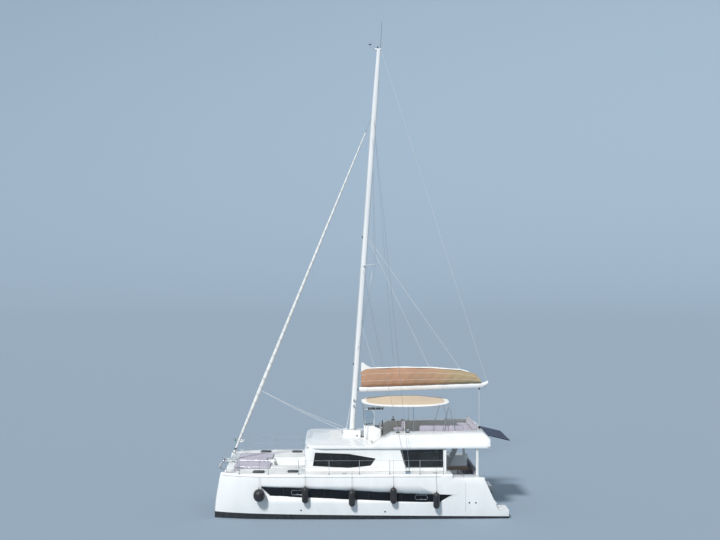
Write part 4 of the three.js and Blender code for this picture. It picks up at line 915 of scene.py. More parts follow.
box_in(bm, (0.27, 0.05, -0.004), (0.385, 0.15, 0.03), 0.012)
for x in LEVERS:
    rod_in(bm, (x, 0.1, 0.028), (x, 0.07, 0.14), 0.006, 0.006, 10, 2)
    rod_in(bm, (x, 0.075, 0.13), (x, 0.065, 0.165), 0.013, 0.015)
bmesh.ops.transform(bm, verts=bm.verts, matrix=dash)
compass = Vector((console_high[0] - 0.1, HELM_Y, console_high[2]))
post_in(bm, compass, -0.005, 0.03, 0.075, 0.06, 28)
dome = Matrix.Translation(over(compass, 0.028))
bmesh.ops.create_uvsphere(bm, u_segments=24, v_segments=14, radius=0.055, matrix=dome)
piece("helm_instruments", bm, [bezel, display, steel])

leather = woven("wheel_leather", (0.05, 0.05, 0.052), (0.035, 0.035, 0.038), 900, 0.1)
wheel_low, wheel_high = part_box("helm_wheel")
WHEEL = Vector((console_low[0] - 0.09, HELM_Y, (wheel_low[2] + wheel_high[2]) / 2))
WHEEL_RADIUS = 0.33
bm = bmesh.new()
bmesh.ops.create_circle(bm, segments=14, radius=0.015, matrix=Matrix.Translation((0, WHEEL_RADIUS, 0)))
spun(bm, bm.edges[:] + bm.verts[:], (1, 0, 0), 64)
bmesh.ops.translate(bm, verts=bm.verts, vec=WHEEL)
for turn in (math.radians(degrees) for degrees in (90, 210, 330)):
    out = Vector((0, math.cos(turn), math.sin(turn)))
    rod_in(bm, WHEEL + out * 0.02, WHEEL + out * (WHEEL_RADIUS - 0.006), 0.014, 0.01, 14, 1)
hub_fore, hub_aft, cap_aft = (WHEEL + Vector((x, 0, 0)) for x in (0.0897, -0.02, -0.032))
rod_in(bm, hub_fore, hub_aft, 0.038, 0.045, 28, 1)
rod_in(bm, hub_aft, cap_aft, 0.04, 0.03, 28)
piece("wheel_rim", bm, [leather, steel], "helm_wheel_body", ["helm_wheel"])

clear, shader = shaded("clear_acrylic", IOR=1.45, Transmission_Weight=1.0)
coated(clear, shader, between(clear, noise(clear, 4), (0.93, 0.96, 0.97), (0.82, 0.87, 0.89)),
       between(clear, noise(clear, 14), 0.02, 0.09))
glazed("windshield_pane", "windshield", clear, 0.1)
SCREEN_FRONT, SCREEN_AFT, SCREEN_HALF = -0.17, -0.6, 0.4
SCREEN_FOOT, SCREEN_TOP = 3.72, 4.48
SCREEN_BEND, SCREEN_CORNER = 0.15, 0.18


def there_and_back(run):
    """A run of points to port, then its mirror image to starboard from its end to its start"""
    return run + [(x, -y, *rest) for x, y, *rest in reversed(run)]


quarter = [(1 - math.cos(turn), 1 - math.sin(turn)) for turn in (math.radians(15 * k) for k in range(7))]
front_half = [(SCREEN_FRONT - SCREEN_BEND * a, SCREEN_HALF - SCREEN_BEND * b) for a, b in reversed(quarter)]
run = [(SCREEN_AFT, SCREEN_HALF, SCREEN_FOOT + 0.01)]
run += [(SCREEN_AFT + SCREEN_CORNER * a, SCREEN_HALF, SCREEN_TOP - SCREEN_CORNER * b) for a, b in quarter]
run += [(x, y, SCREEN_TOP) for x, y in front_half]
bm = bmesh.new()
tube_in(bm, [[(x, y + HELM_Y, z) for x, y, z in there_and_back(run)]], 0.013)
foot = there_and_back([(SCREEN_AFT, SCREEN_HALF)] + front_half)
tube_in(bm, [[(x, y + HELM_Y, SCREEN_FOOT + 0.012) for x, y in foot]], 0.013)
piece("windshield_rim", bm, gelcoat)

bm = bmesh.new()
seat_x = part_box("helm_seat")[0][0] + 0.04
box_in(bm, (seat_x, 0.5, FLYBRIDGE + STAND_OFF), (seat_x + 0.4, 1.3, 3.505), 0.03)
box_in(bm, (seat_x - 0.038, 0.52, 3.5), (seat_x, 1.28, 3.93), 0.012)
piece("helm_seat_base", bm, gelcoat, "boat", ["helm_seat"])
pad("helm_seat_pad", (0.42, 0.8, 0.085), at(seat_x + 0.02, 0.5, 3.507), channels=((1, 0.4),))
pad("helm_seat_back", (0.8, 0.36, 0.075), at(seat_x + 0.005, 0.5, 3.575, AFT_BACK), channels=((0, 0.4),))

# Flybridge lounge: stuffed seat and back cushions in the same woven cloth, along the port side and across
# the after end. They lie on the moulded base and lean on the coamings, each with one sewn channel.
LOUNGE_SEAT = 3.3813
LOUNGE_BACK = LOUNGE_SEAT + 0.11
LOUNGE_PADS, LOUNGE_PAD_STEP = -4.55, 0.65
AFT_PADS, AFT_PAD_STEP = -1.585, 0.815
for k in range(3):
    x = LOUNGE_PADS + LOUNGE_PAD_STEP * k
    pad(f"lounge_seat_{k + 1}", (0.64, 0.5, 0.1), at(x, 1.09, LOUNGE_SEAT),
        ["lounge_cushions"] if k == 0 else [], channels=((0, 0.32),))
    pad(f"lounge_back_{k + 1}", (0.64, 0.3, 0.1), at(x, 1.685, LOUNGE_BACK, PORT_BACK), channels=((0, 0.32),))
for k in range(4):
    y = AFT_PADS + AFT_PAD_STEP * k
    pad(f"aft_lounge_seat_{k + 1}", (0.49, 0.8, 0.1), at(-5.06, y, LOUNGE_SEAT), channels=((1, 0.4),))
    pad(f"aft_lounge_back_{k + 1}", (0.8, 0.3, 0.1), at(-5.165, y, LOUNGE_BACK, AFT_BACK),
        channels=((0, 0.4),))

# Bimini: a tan acrylic canopy with white borders, sewn across at each bow and stretched over four bent
# steel tubes. The tubes stand on legs with round feet bolted to the roof and the coamings.
CANOPY_FORE, CANOPY_AFT, CANOPY_HALF, CANOPY_END = -0.08, -4.03, 1.8, 0.12
CANOPY_EDGE_Z, CANOPY_CROWN = 4.64, 0.27
CANOPY_MIDDLE, CANOPY_REACH = (CANOPY_FORE + CANOPY_AFT) / 2, (CANOPY_FORE - CANOPY_AFT) / 2
BOWS = (-0.15, -1.4, -2.68, -3.95)
BORDER, BORDER_BLUR = 0.2, 0.002


def canopy_along(x):
    """The place along the canopy, from -1 at its after end to 1 at its front"""
    return 2 * (x - CANOPY_AFT) / (CANOPY_FORE - CANOPY_AFT) - 1


def canopy_half(x):
    """Half the canopy's breadth at a place along it"""
    around = max(0, 1 - abs(canopy_along(x)) ** 3) ** (1 / 3)
    return CANOPY_HALF * (CANOPY_END + (1 - CANOPY_END) * around)


def canopy_z(x, y):
    return CANOPY_EDGE_Z + CANOPY_CROWN * (1 - (y / CANOPY_HALF) ** 2) * (1 - 0.75 * canopy_along(x) ** 2)


def canvas(name, color, faded, weave=520, aft=None, border=None):
    """Acrylic canvas, faded in clouds and softly creased, with another colour aft or in its border"""
    material, shader = shaded(name, Sheen_Weight=0.2, Sheen_Roughness=0.6)
    tone = between(material, noise(material, 0.9, 7, (1, 1, 2)), color, faded, 0.35, 0.7)
    if aft:
        share = between(material, own_axes(material)["X"], 1.0, 0.0, -4.5, -3.0)
        tone = either(material, share, tone, aft)
    if border:
        inset = node_in(material, "Attribute", attribute_name="inset").outputs["Fac"]
        share = between(material, inset, 1.0, 0.0, BORDER - BORDER_BLUR, BORDER + BORDER_BLUR)
        tone = either(material, share, tone, border)
    creases = noise(material, 3.2, 6, (1, 1, 2.4))
    coated(material, shader, tone, between(material, creases, 0.8, 0.95))
    relief = worked_out(material, "MULTIPLY_ADD", threads(material, weave), 0.03, creases)
    raised(material, shader, relief, 0.02, 0.5)
    return material


def grid(columns, rows):
    """A flat sheet from -1 to 1 both ways, to be bent to shape"""
    bm = bmesh.new()
    bmesh.ops.create_grid(bm, x_segments=columns, y_segments=rows, size=1)
    return bm


def thicken(bm, thickness):
    bmesh.ops.recalc_face_normals(bm, faces=bm.faces)
    bmesh.ops.solidify(bm, geom=bm.faces[:], thickness=thickness)


CREAM = ((0.62, 0.48, 0.33), (0.54, 0.43, 0.3))
tan_canvas = canvas("tan_canvas", (0.43, 0.235, 0.145), (0.36, 0.22, 0.135), aft=(0.36, 0.27, 0.15))
cream_canvas = canvas("cream_canvas", *CREAM)
white_canvas = canvas("white_canvas", (0.83, 0.83, 0.8), (0.74, 0.74, 0.71))
bordered_canvas = canvas("bordered_canvas", *CREAM, border=(0.79, 0.79, 0.76))
EDGE_STEPS = 48
CLOTH_RISE, CLOTH_SAG = 0.016, 0.012
places = [CANOPY_MIDDLE + CANOPY_REACH * math.cos(math.pi * k / EDGE_STEPS) for k in range(EDGE_STEPS + 1)]
round_trip = there_and_back([(x, canopy_half(x)) for x in places])
canopy_edge = [Vector(point) for point in spaced(round_trip, 0.04)]
bm = grid(64, 48)
for vert in bm.verts:
    x = CANOPY_MIDDLE + CANOPY_REACH * math.sin(vert.co.x * math.pi / 2)
    y = vert.co.y * canopy_half(x)
    gap = min(abs(x - bow) for bow in BOWS)
    sag = CLOTH_SAG * (1 - vert.co.y ** 2) * min(1, gap / 0.5)
    vert.co = (x, y, canopy_z(x, y) + CLOTH_RISE - sag)
cloth_area = sum(face.calc_area() for face in bm.faces)
thicken(bm, 0.003)
inset = bm.verts.layers.float.new("inset")
for vert in bm.verts:
    vert[inset] = min((vert.co.xy - point).length for point in canopy_edge)
canopy = piece("bimini_cloth", bm, bordered_canvas, "boat", ["bimini_canopy"], smooth=60)

bm = bmesh.new()
tube_in(bm, [[(x, y, canopy_z(x, y) + 0.014) for x, y in round_trip]], 0.011, closed=True)
for bow in BOWS[1:3]:
    breadths = [canopy_half(bow) * k / 20 for k in range(-20, 21)]
    for shift in (-0.025, 0.025):
        seam = [(bow + shift, y, canopy_z(bow, y) + 0.017) for y in breadths]
        tube_in(bm, [seam], 0.0022, index=1)
hem = piece("bimini_hem", bm, [white_canvas, cream_canvas])

RAIL_OUT = 1.755
TUBE = 0.016
LEGS = (((-0.25, 1.45), -0.15), ((-2.33, 1.85), -2.33), ((-3.62, 1.85), -3.9), ((-4.18, 1.85), -3.93))


def rail_point(x, y):
    return Vector((x, y, canopy_z(x, y) - TUBE + 0.003))


bm = bmesh.new()
for x in BOWS:
    tube_in(bm, [[rail_point(x, RAIL_OUT * k / 16) for k in range(-16, 17)]], TUBE, fine=3)
for _, side in SIDES:
    places = [BOWS[0] + (BOWS[-1] - BOWS[0]) * k / 20 for k in range(21)]
    tube_in(bm, [[rail_point(x, side * RAIL_OUT) for x in places]], TUBE, fine=3)
    for foot, head_x in LEGS:
        stand, top = on_roof(foot[0], side * foot[1]), rail_point(head_x, side * RAIL_OUT)
        tube_in(bm, [[stand, top]], TUBE, fine=3)
        post_in(bm, stand, -0.004, 0.01, 0.042, 0.038, 24)
        post_in(bm, stand, 0.01, 0.05, 0.024, 0.021, 20)
        rod_in(bm, top - Vector((0.03, 0, 0)), top + Vector((0.03, 0, 0)), 0.022, 0.022, 16)
piece("bimini_tubes", bm, steel, "boat", ["bimini_frame"])

# Painted shade: a dark mesh sheet rolled up under the canopy's front, port side, stands in for the shade
# that falls there. It is tied to the rail with three white tapes.
painted_shade_cloth = canvas("painted_shade_cloth", (0.025, 0.027, 0.03), (0.05, 0.052, 0.056), 300)


def turns(count):
    """Angles spaced evenly round a full turn"""
    return [math.tau * k / count for k in range(count)]


def ring(middle, across, up, count):
    """Points round an oval, given what leads from its middle to its side and to its top"""
    across, up = Vector(across), Vector(up)
    return [middle + across * math.cos(turn) + up * math.sin(turn) for turn in turns(count)]


SHADE_ROLL_MIDDLE, SHADE_ROLL_REACH = -0.65, 0.35
SHADE_ROLL_RADIUS = 0.05
SHADE_ROLL_DROP = SHADE_ROLL_RADIUS + 0.018
TAPES = (-0.4, -0.65, -0.9)
bm = grid(40, 28)
for vert in bm.verts:
    x = SHADE_ROLL_MIDDLE + SHADE_ROLL_REACH * vert.co.x
    turn = 2.4 * math.pi * vert.co.y
    radius = SHADE_ROLL_RADIUS * (0.75 + 0.1 * (vert.co.y + 1)) * (1 + 0.03 * math.sin(31 * x))
    around = Vector((0, radius * math.cos(turn), radius * math.sin(turn)))
    vert.co = over(rail_point(x, RAIL_OUT) + around, -SHADE_ROLL_DROP)
thicken(bm, 0.0015)
for x in TAPES:
    tape = ring(over(rail_point(x, RAIL_OUT), -0.048), (0, 0.056, 0), (0, 0, 0.068), 24)
    tube_in(bm, [tape], 0.004, closed=True, index=1)
# The dark roll is painted shade under the canopy's front.
piece("painted_shade_roll", bm, [painted_shade_cloth, white_canvas])

# Mast: a raked oval aluminium section, painted white, with a sail track, tapered spreaders, diamond stays,
# lights, a wind vane and a whip aerial. Halyards run down its front to the clutches.
MAST_FOOT = Vector((0.37, 0, 3.4))
MAST_TOP = Vector((-0.86, 0, 20.8))
HOUNDS = 17.6


def mast_x(z):
    return MAST_FOOT.x + (MAST_TOP.x - MAST_FOOT.x) * (z - MAST_FOOT.z) / (MAST_TOP.z - MAST_FOOT.z)


def spar_in(bm, rings, sides=28):
    """A spar through rings: each is a matrix that places a circle of radius 1"""
    loops = []
    for place in rings:
        verts = bmesh.ops.create_circle(bm, segments=sides, radius=1, matrix=place)["verts"]
        loops.append(list(dict.fromkeys(e for vert in verts for e in vert.link_edges)))
    made = []
    for first, second in zip(loops, loops[1:]):
        made += bmesh.ops.bridge_loops(bm, edges=first + second)["faces"]
    made += bmesh.ops.holes_fill(bm, edges=loops[0] + loops[-1], sides=0)["faces"]
    bmesh.ops.recalc_face_normals(bm, faces=made)


def oval(place, along, across, share, lie=Matrix.Identity(4)):
    """The matrix of an oval ring of a spar at a place, some share of its full size"""
    return Matrix.Translation(place) @ lie @ Matrix.Diagonal((along * share, across * share, 1, 1))


alloy = metal("satin_aluminium", (0.62, 0.63, 0.65), (0.25, 0.42))
spar_paint, _ = weathered_white("spar_paint", (0.8, 0.81, 0.81), (0.72, 0.73, 0.73), (0.25, 0.4))
rope_white = canvas("white_rope", (0.72, 0.72, 0.7), (0.6, 0.6, 0.57), 900)
MAST_RINGS = (3.4, 5, 7, 9, 11, 13, 15, 17, 18.6, 19.4, 20.2, 20.8)
TAPER_FROM, TAPER = 18.6, 0.28 / 2.2
SPREADER_Z = 10.9
DIAMOND_ENDS = (16.8, 7.0)
MAST_LIGHTS = ((12.2, 0.115), (6.4, 0.118))
SHEAVES, HALYARDS, MAST_WINCHES = (-0.09, 0.15), (-0.045, -0.015, 0.02, 0.05), (4.5, 4.75)


def on_mast(z, out=0.0, y=0.0):
    """A point by the mast's axis at a height, some way forward of it and to port"""
    return Vector((mast_x(z) + out, y, z))


bm = bmesh.new()
spar_in(bm, [oval(on_mast(z), 0.118, 0.074, 1 - TAPER * max(0, z - TAPER_FROM)) for z in MAST_RINGS])
rod_in(bm, on_mast(5.6, -0.116), on_mast(19.4, -0.105), 0.014, 0.014, 8, 1)
plate_in(bm, rounded(0.18, 0.56, -0.13, 0.13, 0.05), MAST_FOOT.z - STAND_OFF, 3.425, 0.006, 1)
for _, side in SIDES:
    root = on_mast(SPREADER_Z, 0, side * 0.05)
    tip = over(on_mast(SPREADER_Z, -0.52, side * 1.25), 0.06)
    along = (tip - root).to_track_quat("Z", "Y").to_matrix().to_4x4()
    spar_in(bm, [oval(root, 0.045, 0.02, 1, along), oval(tip, 0.045, 0.02, 0.55, along)], 20)
    for z in DIAMOND_ENDS:
        tang = on_mast(z, 0, side * 0.06)
        rod_in(bm, tip, tang, 0.0065, 0.0065, 8, 2)
        box_by(bm, tang, (-0.02, -0.012, -0.08), (0.02, 0.012, 0.08), 0.004, 2)
head = on_mast(MAST_TOP.z)
box_by(bm, head, (-0.12, -0.04, -0.03), (0.18, 0.04, 0.04), 0.01)
for x in SHEAVES:
    pin_in(bm, head + Vector((x, 0, 0)), 0.015, 0.045, 24, 2)
rod_in(bm, head + Vector((-0.08, 0, 0.03)), head + Vector((-0.14, 0, 1.26)), 0.008, 0.005, 10, 3)
vane_arm = ((0.15, 0, 0), (0.42, 0, 0.12), (0.42, 0, 0.26))
tube_in(bm, [[head + Vector(point) for point in vane_arm]], 0.007, index=2)
box_by(bm, head, (0.34, -0.003, 0.2), (0.46, 0.003, 0.25), 0, 3)
post_in(bm, head + Vector((0.05, 0, 0)), 0.04, 0.13, 0.03, 0.028, 20, 3)
for z, out in MAST_LIGHTS:
    box_by(bm, on_mast(z, out), (-0.01, -0.035, -0.05), (0.05, 0.035, 0.05), 0.012, 3)
GOOSENECK = on_mast(5.23, -0.165)
lean = Matrix.Rotation(math.atan((MAST_TOP.x - MAST_FOOT.x) / (MAST_TOP.z - MAST_FOOT.z)), 4, "Y")
lug = bmesh.new()
box_in(lug, (0, -0.028, -0.03), (0.09, 0.028, 0.03), 0.004)
rod_in(lug, (0, 0, -0.03), (0, 0, 0.03), 0.028, 0.028, 24)
bmesh.ops.transform(lug, verts=lug.verts, matrix=Matrix.Translation(GOOSENECK) @ lean)
join_in(bm, lug, 2)
for y in HALYARDS:
    halyard = [on_mast(17.5, 0.125, 0.6 * y)] + [on_mast(z, 0.125, y) for z in (12, 8, 4.6)]
    tube_in(bm, [halyard + [(0.62, y * 4, 3.46)]], 0.006, index=4)
for z in MAST_WINCHES:
    rod_in(bm, on_mast(z, 0, 0.07), on_mast(z, 0, 0.15), 0.045, 0.04, 20, 2)
mast_finish = [spar_paint, alloy, steel, rubber, rope_white]
piece("mast_and_spreaders", bm, mast_finish, "boat", ["mast"])

# Boom: an oval aluminium spar, painted white, forked at the gooseneck pin and with its after end cap
# turned up. Two reef lines run along under it, past steel pins.
BOOM_LENGTH = 5.95
BOOM_AFT = GOOSENECK.x - BOOM_LENGTH
BOOM_SLOPE = 0.19 / BOOM_LENGTH
REEF_LINES, REEF_PINS = (-0.055, 0.055), (-0.35, -2.0, -3.8, BOOM_AFT + 0.25)
BOOM_RINGS = ((5.905, 0.8, 0), (5.83, 0.95, 0), (5.75, 1, 0), (0.3, 1, 0), (0.22, 0.99, 0.012),
              (0.15, 0.95, 0.035), (0.07, 0.89, 0.07), (0.02, 0.84, 0.1), (0, 0.76, 0.11))
SIDEWAYS = Matrix.Rotation(math.pi / 2, 4, "Y")


def boom_z(x):
    return GOOSENECK.z + BOOM_SLOPE * (GOOSENECK.x - x)


def on_boom(x, rise=0.0, y=0.0):
    """A point by the boom's axis, some way over it and to port"""
    return Vector((x, y, boom_z(x) + rise))


bm = bmesh.new()
spar_in(bm, [oval(on_boom(BOOM_AFT + x, lift), 0.112, 0.072, share, SIDEWAYS)
             for x, share, lift in BOOM_RINGS])
for low, high in ((0.0305, 0.059), (-0.059, -0.0305)):
    cheek = bmesh.new()
    plate_in(cheek, rounded(-0.09, 0.028, -0.026, 0.026, 0.025), low, high, 0.003)
    bmesh.ops.transform(cheek, verts=cheek.verts, matrix=Matrix.Translation(GOOSENECK) @ lean)
    join_in(bm, cheek, 1)
for y in REEF_LINES:
    rod_in(bm, on_boom(-0.2, -0.09, y), on_boom(BOOM_AFT + 0.3, -0.09, y), 0.006, 0.006, 8, 2)
for x in REEF_PINS:
    pin_in(bm, on_boom(x, -0.08), 0.075, 0.02, 16, 1)
piece("boom_spar", bm, [spar_paint, steel, rope_white], "boom_and_bag", ["boom"])

# Sail bag: a long soft cover laced to the boom, plump with the folded mainsail. It sags between its straps,
# and is open along the top, where the white folds of the sail and its head at the mast show.
BAG_TOP = ((-5.56, 0.26, 0.11), (-5.3, 0.545, 0.15), (-4.6, 0.745, 0.18), (-3.2, 0.89, 0.205),
           (-1.7, 0.955, 0.215), (-0.3, 0.95, 0.19), (-0.04, 0.86, 0.11))
BAG_SWELL = ((0, 0.066), (0.12, 0.312), (0.35, 0.5), (0.65, 0.688), (0.9, 0.878), (1, 1))
BAG_FOOT = 0.1125
STRAPS = (-0.75, -1.65, -2.55, -3.45, -4.35, -5.1)


def read_at(table, key):
    """The rest of a table's row at a key, straight between its rows"""
    for low, high in zip(table, table[1:]):
        if key <= high[0] or high is table[-1]:
            share = min(1, max(0, (key - low[0]) / (high[0] - low[0])))
            return [a + (b - a) * share for a, b in zip(low[1:], high[1:])]


def strap_gap(x):
    return min(abs(x - strap) for strap in STRAPS)


def bag_point(x, up, side):
    """A point of the bag's skin: up goes from 0 at the boom to 1 at its open top"""
    top, half = read_at(BAG_TOP, x)
    plump = min(1, strap_gap(x) / 0.3)
    swell = 0.12 + 0.88 * math.sin(math.pi * read_at(BAG_SWELL, up)[0])
    fold = 0.006 * math.sin(13 * x + 9 * up) + 0.004 * math.sin(31 * x - 14 * up + side)
    out = half * swell * (0.94 + 0.06 * plump) + fold * swell
    rise = BAG_FOOT + (top - BAG_FOOT) * up - 0.02 * plump * up
    return on_boom(x, rise, side * out)


BAG_MIDDLE, BAG_REACH = -2.8, 2.755
BAG_RUNS, BAG_ROWS = 110, 18
SAIL_HEAD = ((-0.05, 6.05), (-0.5, 6.12), (-0.56, 6.22), (-0.3, 6.33), (-0.14, 6.46), (-0.06, 6.45))
bm = grid(BAG_RUNS, 2 * BAG_ROWS)
for vert in bm.verts:
    x, side = BAG_MIDDLE + BAG_REACH * vert.co.x, 1 if vert.co.y >= 0 else -1
    vert.co = bag_point(x, 1 - abs(vert.co.y), side)
bmesh.ops.recalc_face_normals(bm, faces=bm.faces)
for face in bm.faces:
    face.material_index = 1 if strap_gap(face.calc_center_median().x) < 0.02 else 0
bottoms = [e for e in bm.edges if e.is_boundary and abs(e.verts[0].co.x - e.verts[1].co.x) >= 0.001]
bmesh.ops.bridge_loops(bm, edges=bottoms)
bmesh.ops.holes_fill(bm, edges=[e for e in bm.edges if e.is_boundary], sides=0)
bmesh.ops.recalc_face_normals(bm, faces=bm.faces)
for _, side in SIDES:
    for up in (0.34, 0.72):
        tube_in(bm, [[bag_point(-0.06 - 5.48 * k / 60, up, side) for k in range(61)]], 0.004, index=1)
head = bmesh.new()
plate_in(head, SAIL_HEAD, -0.03, 0.03, 0.02)
bmesh.ops.transform(head, verts=head.verts, matrix=PORT_BACK)
join_in(bm, head, 1)
bag = piece("sail_bag_cover", bm, [tan_canvas, white_canvas], "boom_and_bag", ["sail_bag"],
            smooth=70)

# Mainsail: white polyester sailcloth, dropped between the lazy jacks into its open bag. Only the uppermost
# flakes show, folded from side to side along the boom.
def sailcloth(name, color, aged):
    """Polyester sailcloth with soft creases and a dull shine"""
    material, shader = shaded(name, Sheen_Weight=0.15)
    creases = noise(material, 7, 6, (1, 1, 0.4))
    coated(material, shader, between(material, noise(material, 1.8, 6), color, aged),
           between(material, creases, 0.5, 0.75))
    raised(material, shader, creases, 0.012, 0.5)
    return material


FOLDS_MIDDLE, FOLDS_REACH = -2.6, 2.45
sail_folds = sailcloth("folded_sail", (0.82, 0.82, 0.79), (0.7, 0.7, 0.67))
bm = grid(150, 20)
for vert in bm.verts:
    x = FOLDS_MIDDLE + FOLDS_REACH * vert.co.x
    lump = abs(math.sin(2.3 * x)) * 0.5 + abs(math.sin(5.1 * x + 2 * vert.co.y)) * 0.3
    flake = abs(math.sin(4.7 * math.pi * vert.co.y / 2 + 0.6 * math.sin(3 * x)))
    lift = (0.012 + 0.03 * lump + 0.014 * flake) * (1 - vert.co.y ** 4) * min(1, (1 - abs(vert.co.x)) / 0.04)
    spread = 0.06 + 0.018 * math.sin(4 * x)
    vert.co = on_boom(x, read_at(BAG_TOP, x)[0] - 0.012 + lift, vert.co.y * spread)
thicken(bm, 0.002)
piece("folded_mainsail", bm, sail_folds, "boom_and_bag")

# Headsail: furled round the forestay, its leech winding up it in a spiral over a steel drum. Two sheets
# run from its clew to blocks by the mast.
STAY_FOOT = Vector((5.9, 0, 2.01))
STAY_HEAD = over(on_mast(HOUNDS, 0.09), 0.1)
FURL = ((0.036, 0.04), (0.06, 0.055), (0.2, 0.088), (0.5, 0.067), (0.8, 0.044), (0.955, 0.024))
FURL_TURNS = 44
STRIP_FROM = 0.8
CLEW_AT = 0.2046
FURLER = ((0, 0.0215, 0.012, 0.012, 2), (0.0215, 0.0235, 0.105, 0.105, 2), (0.0235, 0.031, 0.06, 0.06, 4),
          (0.031, 0.0335, 0.105, 0.1, 2), (0.0335, 0.037, 0.045, 0.03, 3), (0.953, 0.96, 0.022, 0.022, 2),
          (0.96, 0.9995, 0.0075, 0.0075, 2))
stay_turn = (STAY_HEAD - STAY_FOOT).to_track_quat("Z", "Y").to_matrix()


def on_stay(share, radius=0.0, turn=0.0):
    around = stay_turn @ Vector((radius * math.cos(turn), radius * math.sin(turn), 0))
    return STAY_FOOT.lerp(STAY_HEAD, share) + around


def wound(share, turn):
    """How far the leech's spiral has gone round at a place on the furled sail, from 0 to 1"""
    return (turn / math.tau + FURL_TURNS * share) % 1


jib_cloth = sailcloth("white_sailcloth", (0.8, 0.8, 0.77), (0.68, 0.68, 0.65))
jib_strip = sailcloth("sun_strip", (0.62, 0.62, 0.6), (0.52, 0.52, 0.5))
bm = grid(900, 20)
for vert in bm.verts:
    share = FURL[0][0] + (FURL[-1][0] - FURL[0][0]) * (vert.co.x + 1) / 2
    turn = math.pi * (vert.co.y + 1)
    radius = read_at(FURL, share)[0] * (1 + 0.07 * wound(share, turn))
    vert.co = on_stay(share, radius, turn)
for face in bm.faces:
    place = face.calc_center_median()
    share = (place.z - STAY_FOOT.z) / (STAY_HEAD.z - STAY_FOOT.z)
    local = stay_turn.inverted() @ (place - on_stay(share))
    face.material_index = 1 if wound(share, math.atan2(local.y, local.x)) > STRIP_FROM else 0
bmesh.ops.remove_doubles(bm, verts=bm.verts, dist=0.0005)
bmesh.ops.holes_fill(bm, edges=[e for e in bm.edges if e.is_boundary], sides=0)
bmesh.ops.recalc_face_normals(bm, faces=bm.faces)
for low, high, radius, end_radius, index in FURLER:
    rod_in(bm, on_stay(low), on_stay(high), radius, end_radius, 24, index)
box_in(bm, (5.87, -0.02, DECK + PANEL_LIFT), (5.93, 0.02, 2.03), 0.006, 2)
clew = on_stay(CLEW_AT)
for _, side in SIDES:
    block = Vector((0.15, side * 0.62, 3.2))
    sheet = [over(clew.lerp(block, k / 16), -0.1 * math.sin(math.pi * k / 16)) for k in range(17)]
    tube_in(bm, [sheet], 0.007, index=4)
    pin_in(bm, block, 0.014, 0.035, 24, 3)
    post_in(bm, block, -0.045, 0, 0.012, 0.012, 12, 2)
jib_finish = [jib_cloth, jib_strip, steel, rubber, rope_white]
piece("furled_headsail", bm, jib_finish, "boat", ["furled_jib"], smooth=50)

# Shrouds: a cap shroud and a lower one to each side, of twisted steel wire. They run from a chainplate on
# the deck edge to the mast, each with a steel turnbuckle pinned to the plate.
CHAINPLATE_Y = 3.4
SHROUDS = ((-2.05, HOUNDS, 0.0068), (-1.92, 10.7, 0.0062))
TURNBUCKLE = ((0.0, 0.08, 0.011), (0.08, 0.32, 0.018), (0.32, 0.5, 0.011))
for name, side in SIDES:
    y = side * CHAINPLATE_Y
    bm = bmesh.new()
    box_in(bm, (-2.09, y - 0.008, DECK + PANEL_LIFT), (-1.87, y + 0.008, 2.095), 0.003)
    for x, height, radius in SHROUDS:
        foot, top = Vector((x, y, 2.07)), on_mast(height, 0, side * 0.06)
        rod_in(bm, foot, top, radius, radius, 8)
        up = (top - foot).normalized()
        for low, high, wide in TURNBUCKLE:
            rod_in(bm, foot + up * low, foot + up * high, wide, wide, 14)
        pin_in(bm, foot, 0.022, 0.009, 12)
    piece(f"shroud_wires_{name}", bm, steel, "boat", [f"shrouds_{name}"])

# Running rigging between boat and boom, of braided white rope: lazy jacks that hold the bag up, the topping
# lift, and the mainsheet tackle down to an aluminium track behind the flybridge.
JACKS = ((8.4, -0.7), (12.3, -3.23), (12.3, -4.7))
SHEET_X = -5.48
BLOCK_SHEAVES = (-0.022, 0.022)
TRACK_HALF, TRACK_END = 1.2, 1.22


def running_line(name, head, foot, steps, radius, shifts=(Vector(),)):
    """Taut rope from the boat to the boom, in one part or several side by side"""
    bm = bmesh.new()
    for shift in shifts:
        tube_in(bm, [[head.lerp(foot, j / steps) + shift for j in range(steps + 1)]], radius)
    line = piece(name, bm, rope_white, None)
    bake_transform(line)


for k, (height, x) in enumerate(JACKS):
    for name, side in SIDES:
        foot = bag_point(x, 0.9, side) + Vector((0, side * 0.004, 0))
        running_line(f"lazy_jack_{k + 1}_{name}", on_mast(height, -0.02, side * 0.09), foot, 20, 0.0045)
lift_foot = Vector((BOOM_AFT + 0.05, 0, boom_z(BOOM_AFT) + 0.19))
running_line("topping_lift", on_mast(20.75, -0.12), lift_foot, 30, 0.0045)
track = on_roof(SHEET_X, 0)
sheet_foot, sheet_head = over(track, 0.09), on_boom(SHEET_X, -0.16)
falls = [Vector((0.012 * math.cos(9 * y), y, 0)) for y in (-0.03, -0.01, 0.01, 0.03)]
running_line("mainsheet_falls", sheet_foot, sheet_head, 24, 0.0055, falls)

bm = bmesh.new()
box_by(bm, track, (-0.025, -TRACK_HALF, -0.001), (0.025, TRACK_HALF, 0.025), 0.006)
box_by(bm, track, (-0.045, -0.1, 0.02), (0.045, 0.1, 0.05), 0.01, 1)
for y in BLOCK_SHEAVES:
    pin_in(bm, track + Vector((0, y, 0.08)), 0.014, 0.038, 24, 1)
for y in (-TRACK_END, TRACK_END):
    box_by(bm, track, (-0.03, y - 0.03, -0.001), (0.03, y + 0.03, 0.04), 0.012, 1)
piece("mainsheet_track", bm, [alloy, rubber])
bm = bmesh.new()
for y in BLOCK_SHEAVES:
    pin_in(bm, sheet_head + Vector((0, y, 0)), 0.014, 0.038, 24)
strop = ((0, -0.05, 0.06), (0, -0.02, 0.0), (0, 0.02, 0.0), (0, 0.05, 0.06))
tube_in(bm, [[sheet_head + Vector(point) for point in strop]], 0.008, index=1)
piece("mainsheet_boom_block", bm, [rubber, steel], "boom_and_bag")

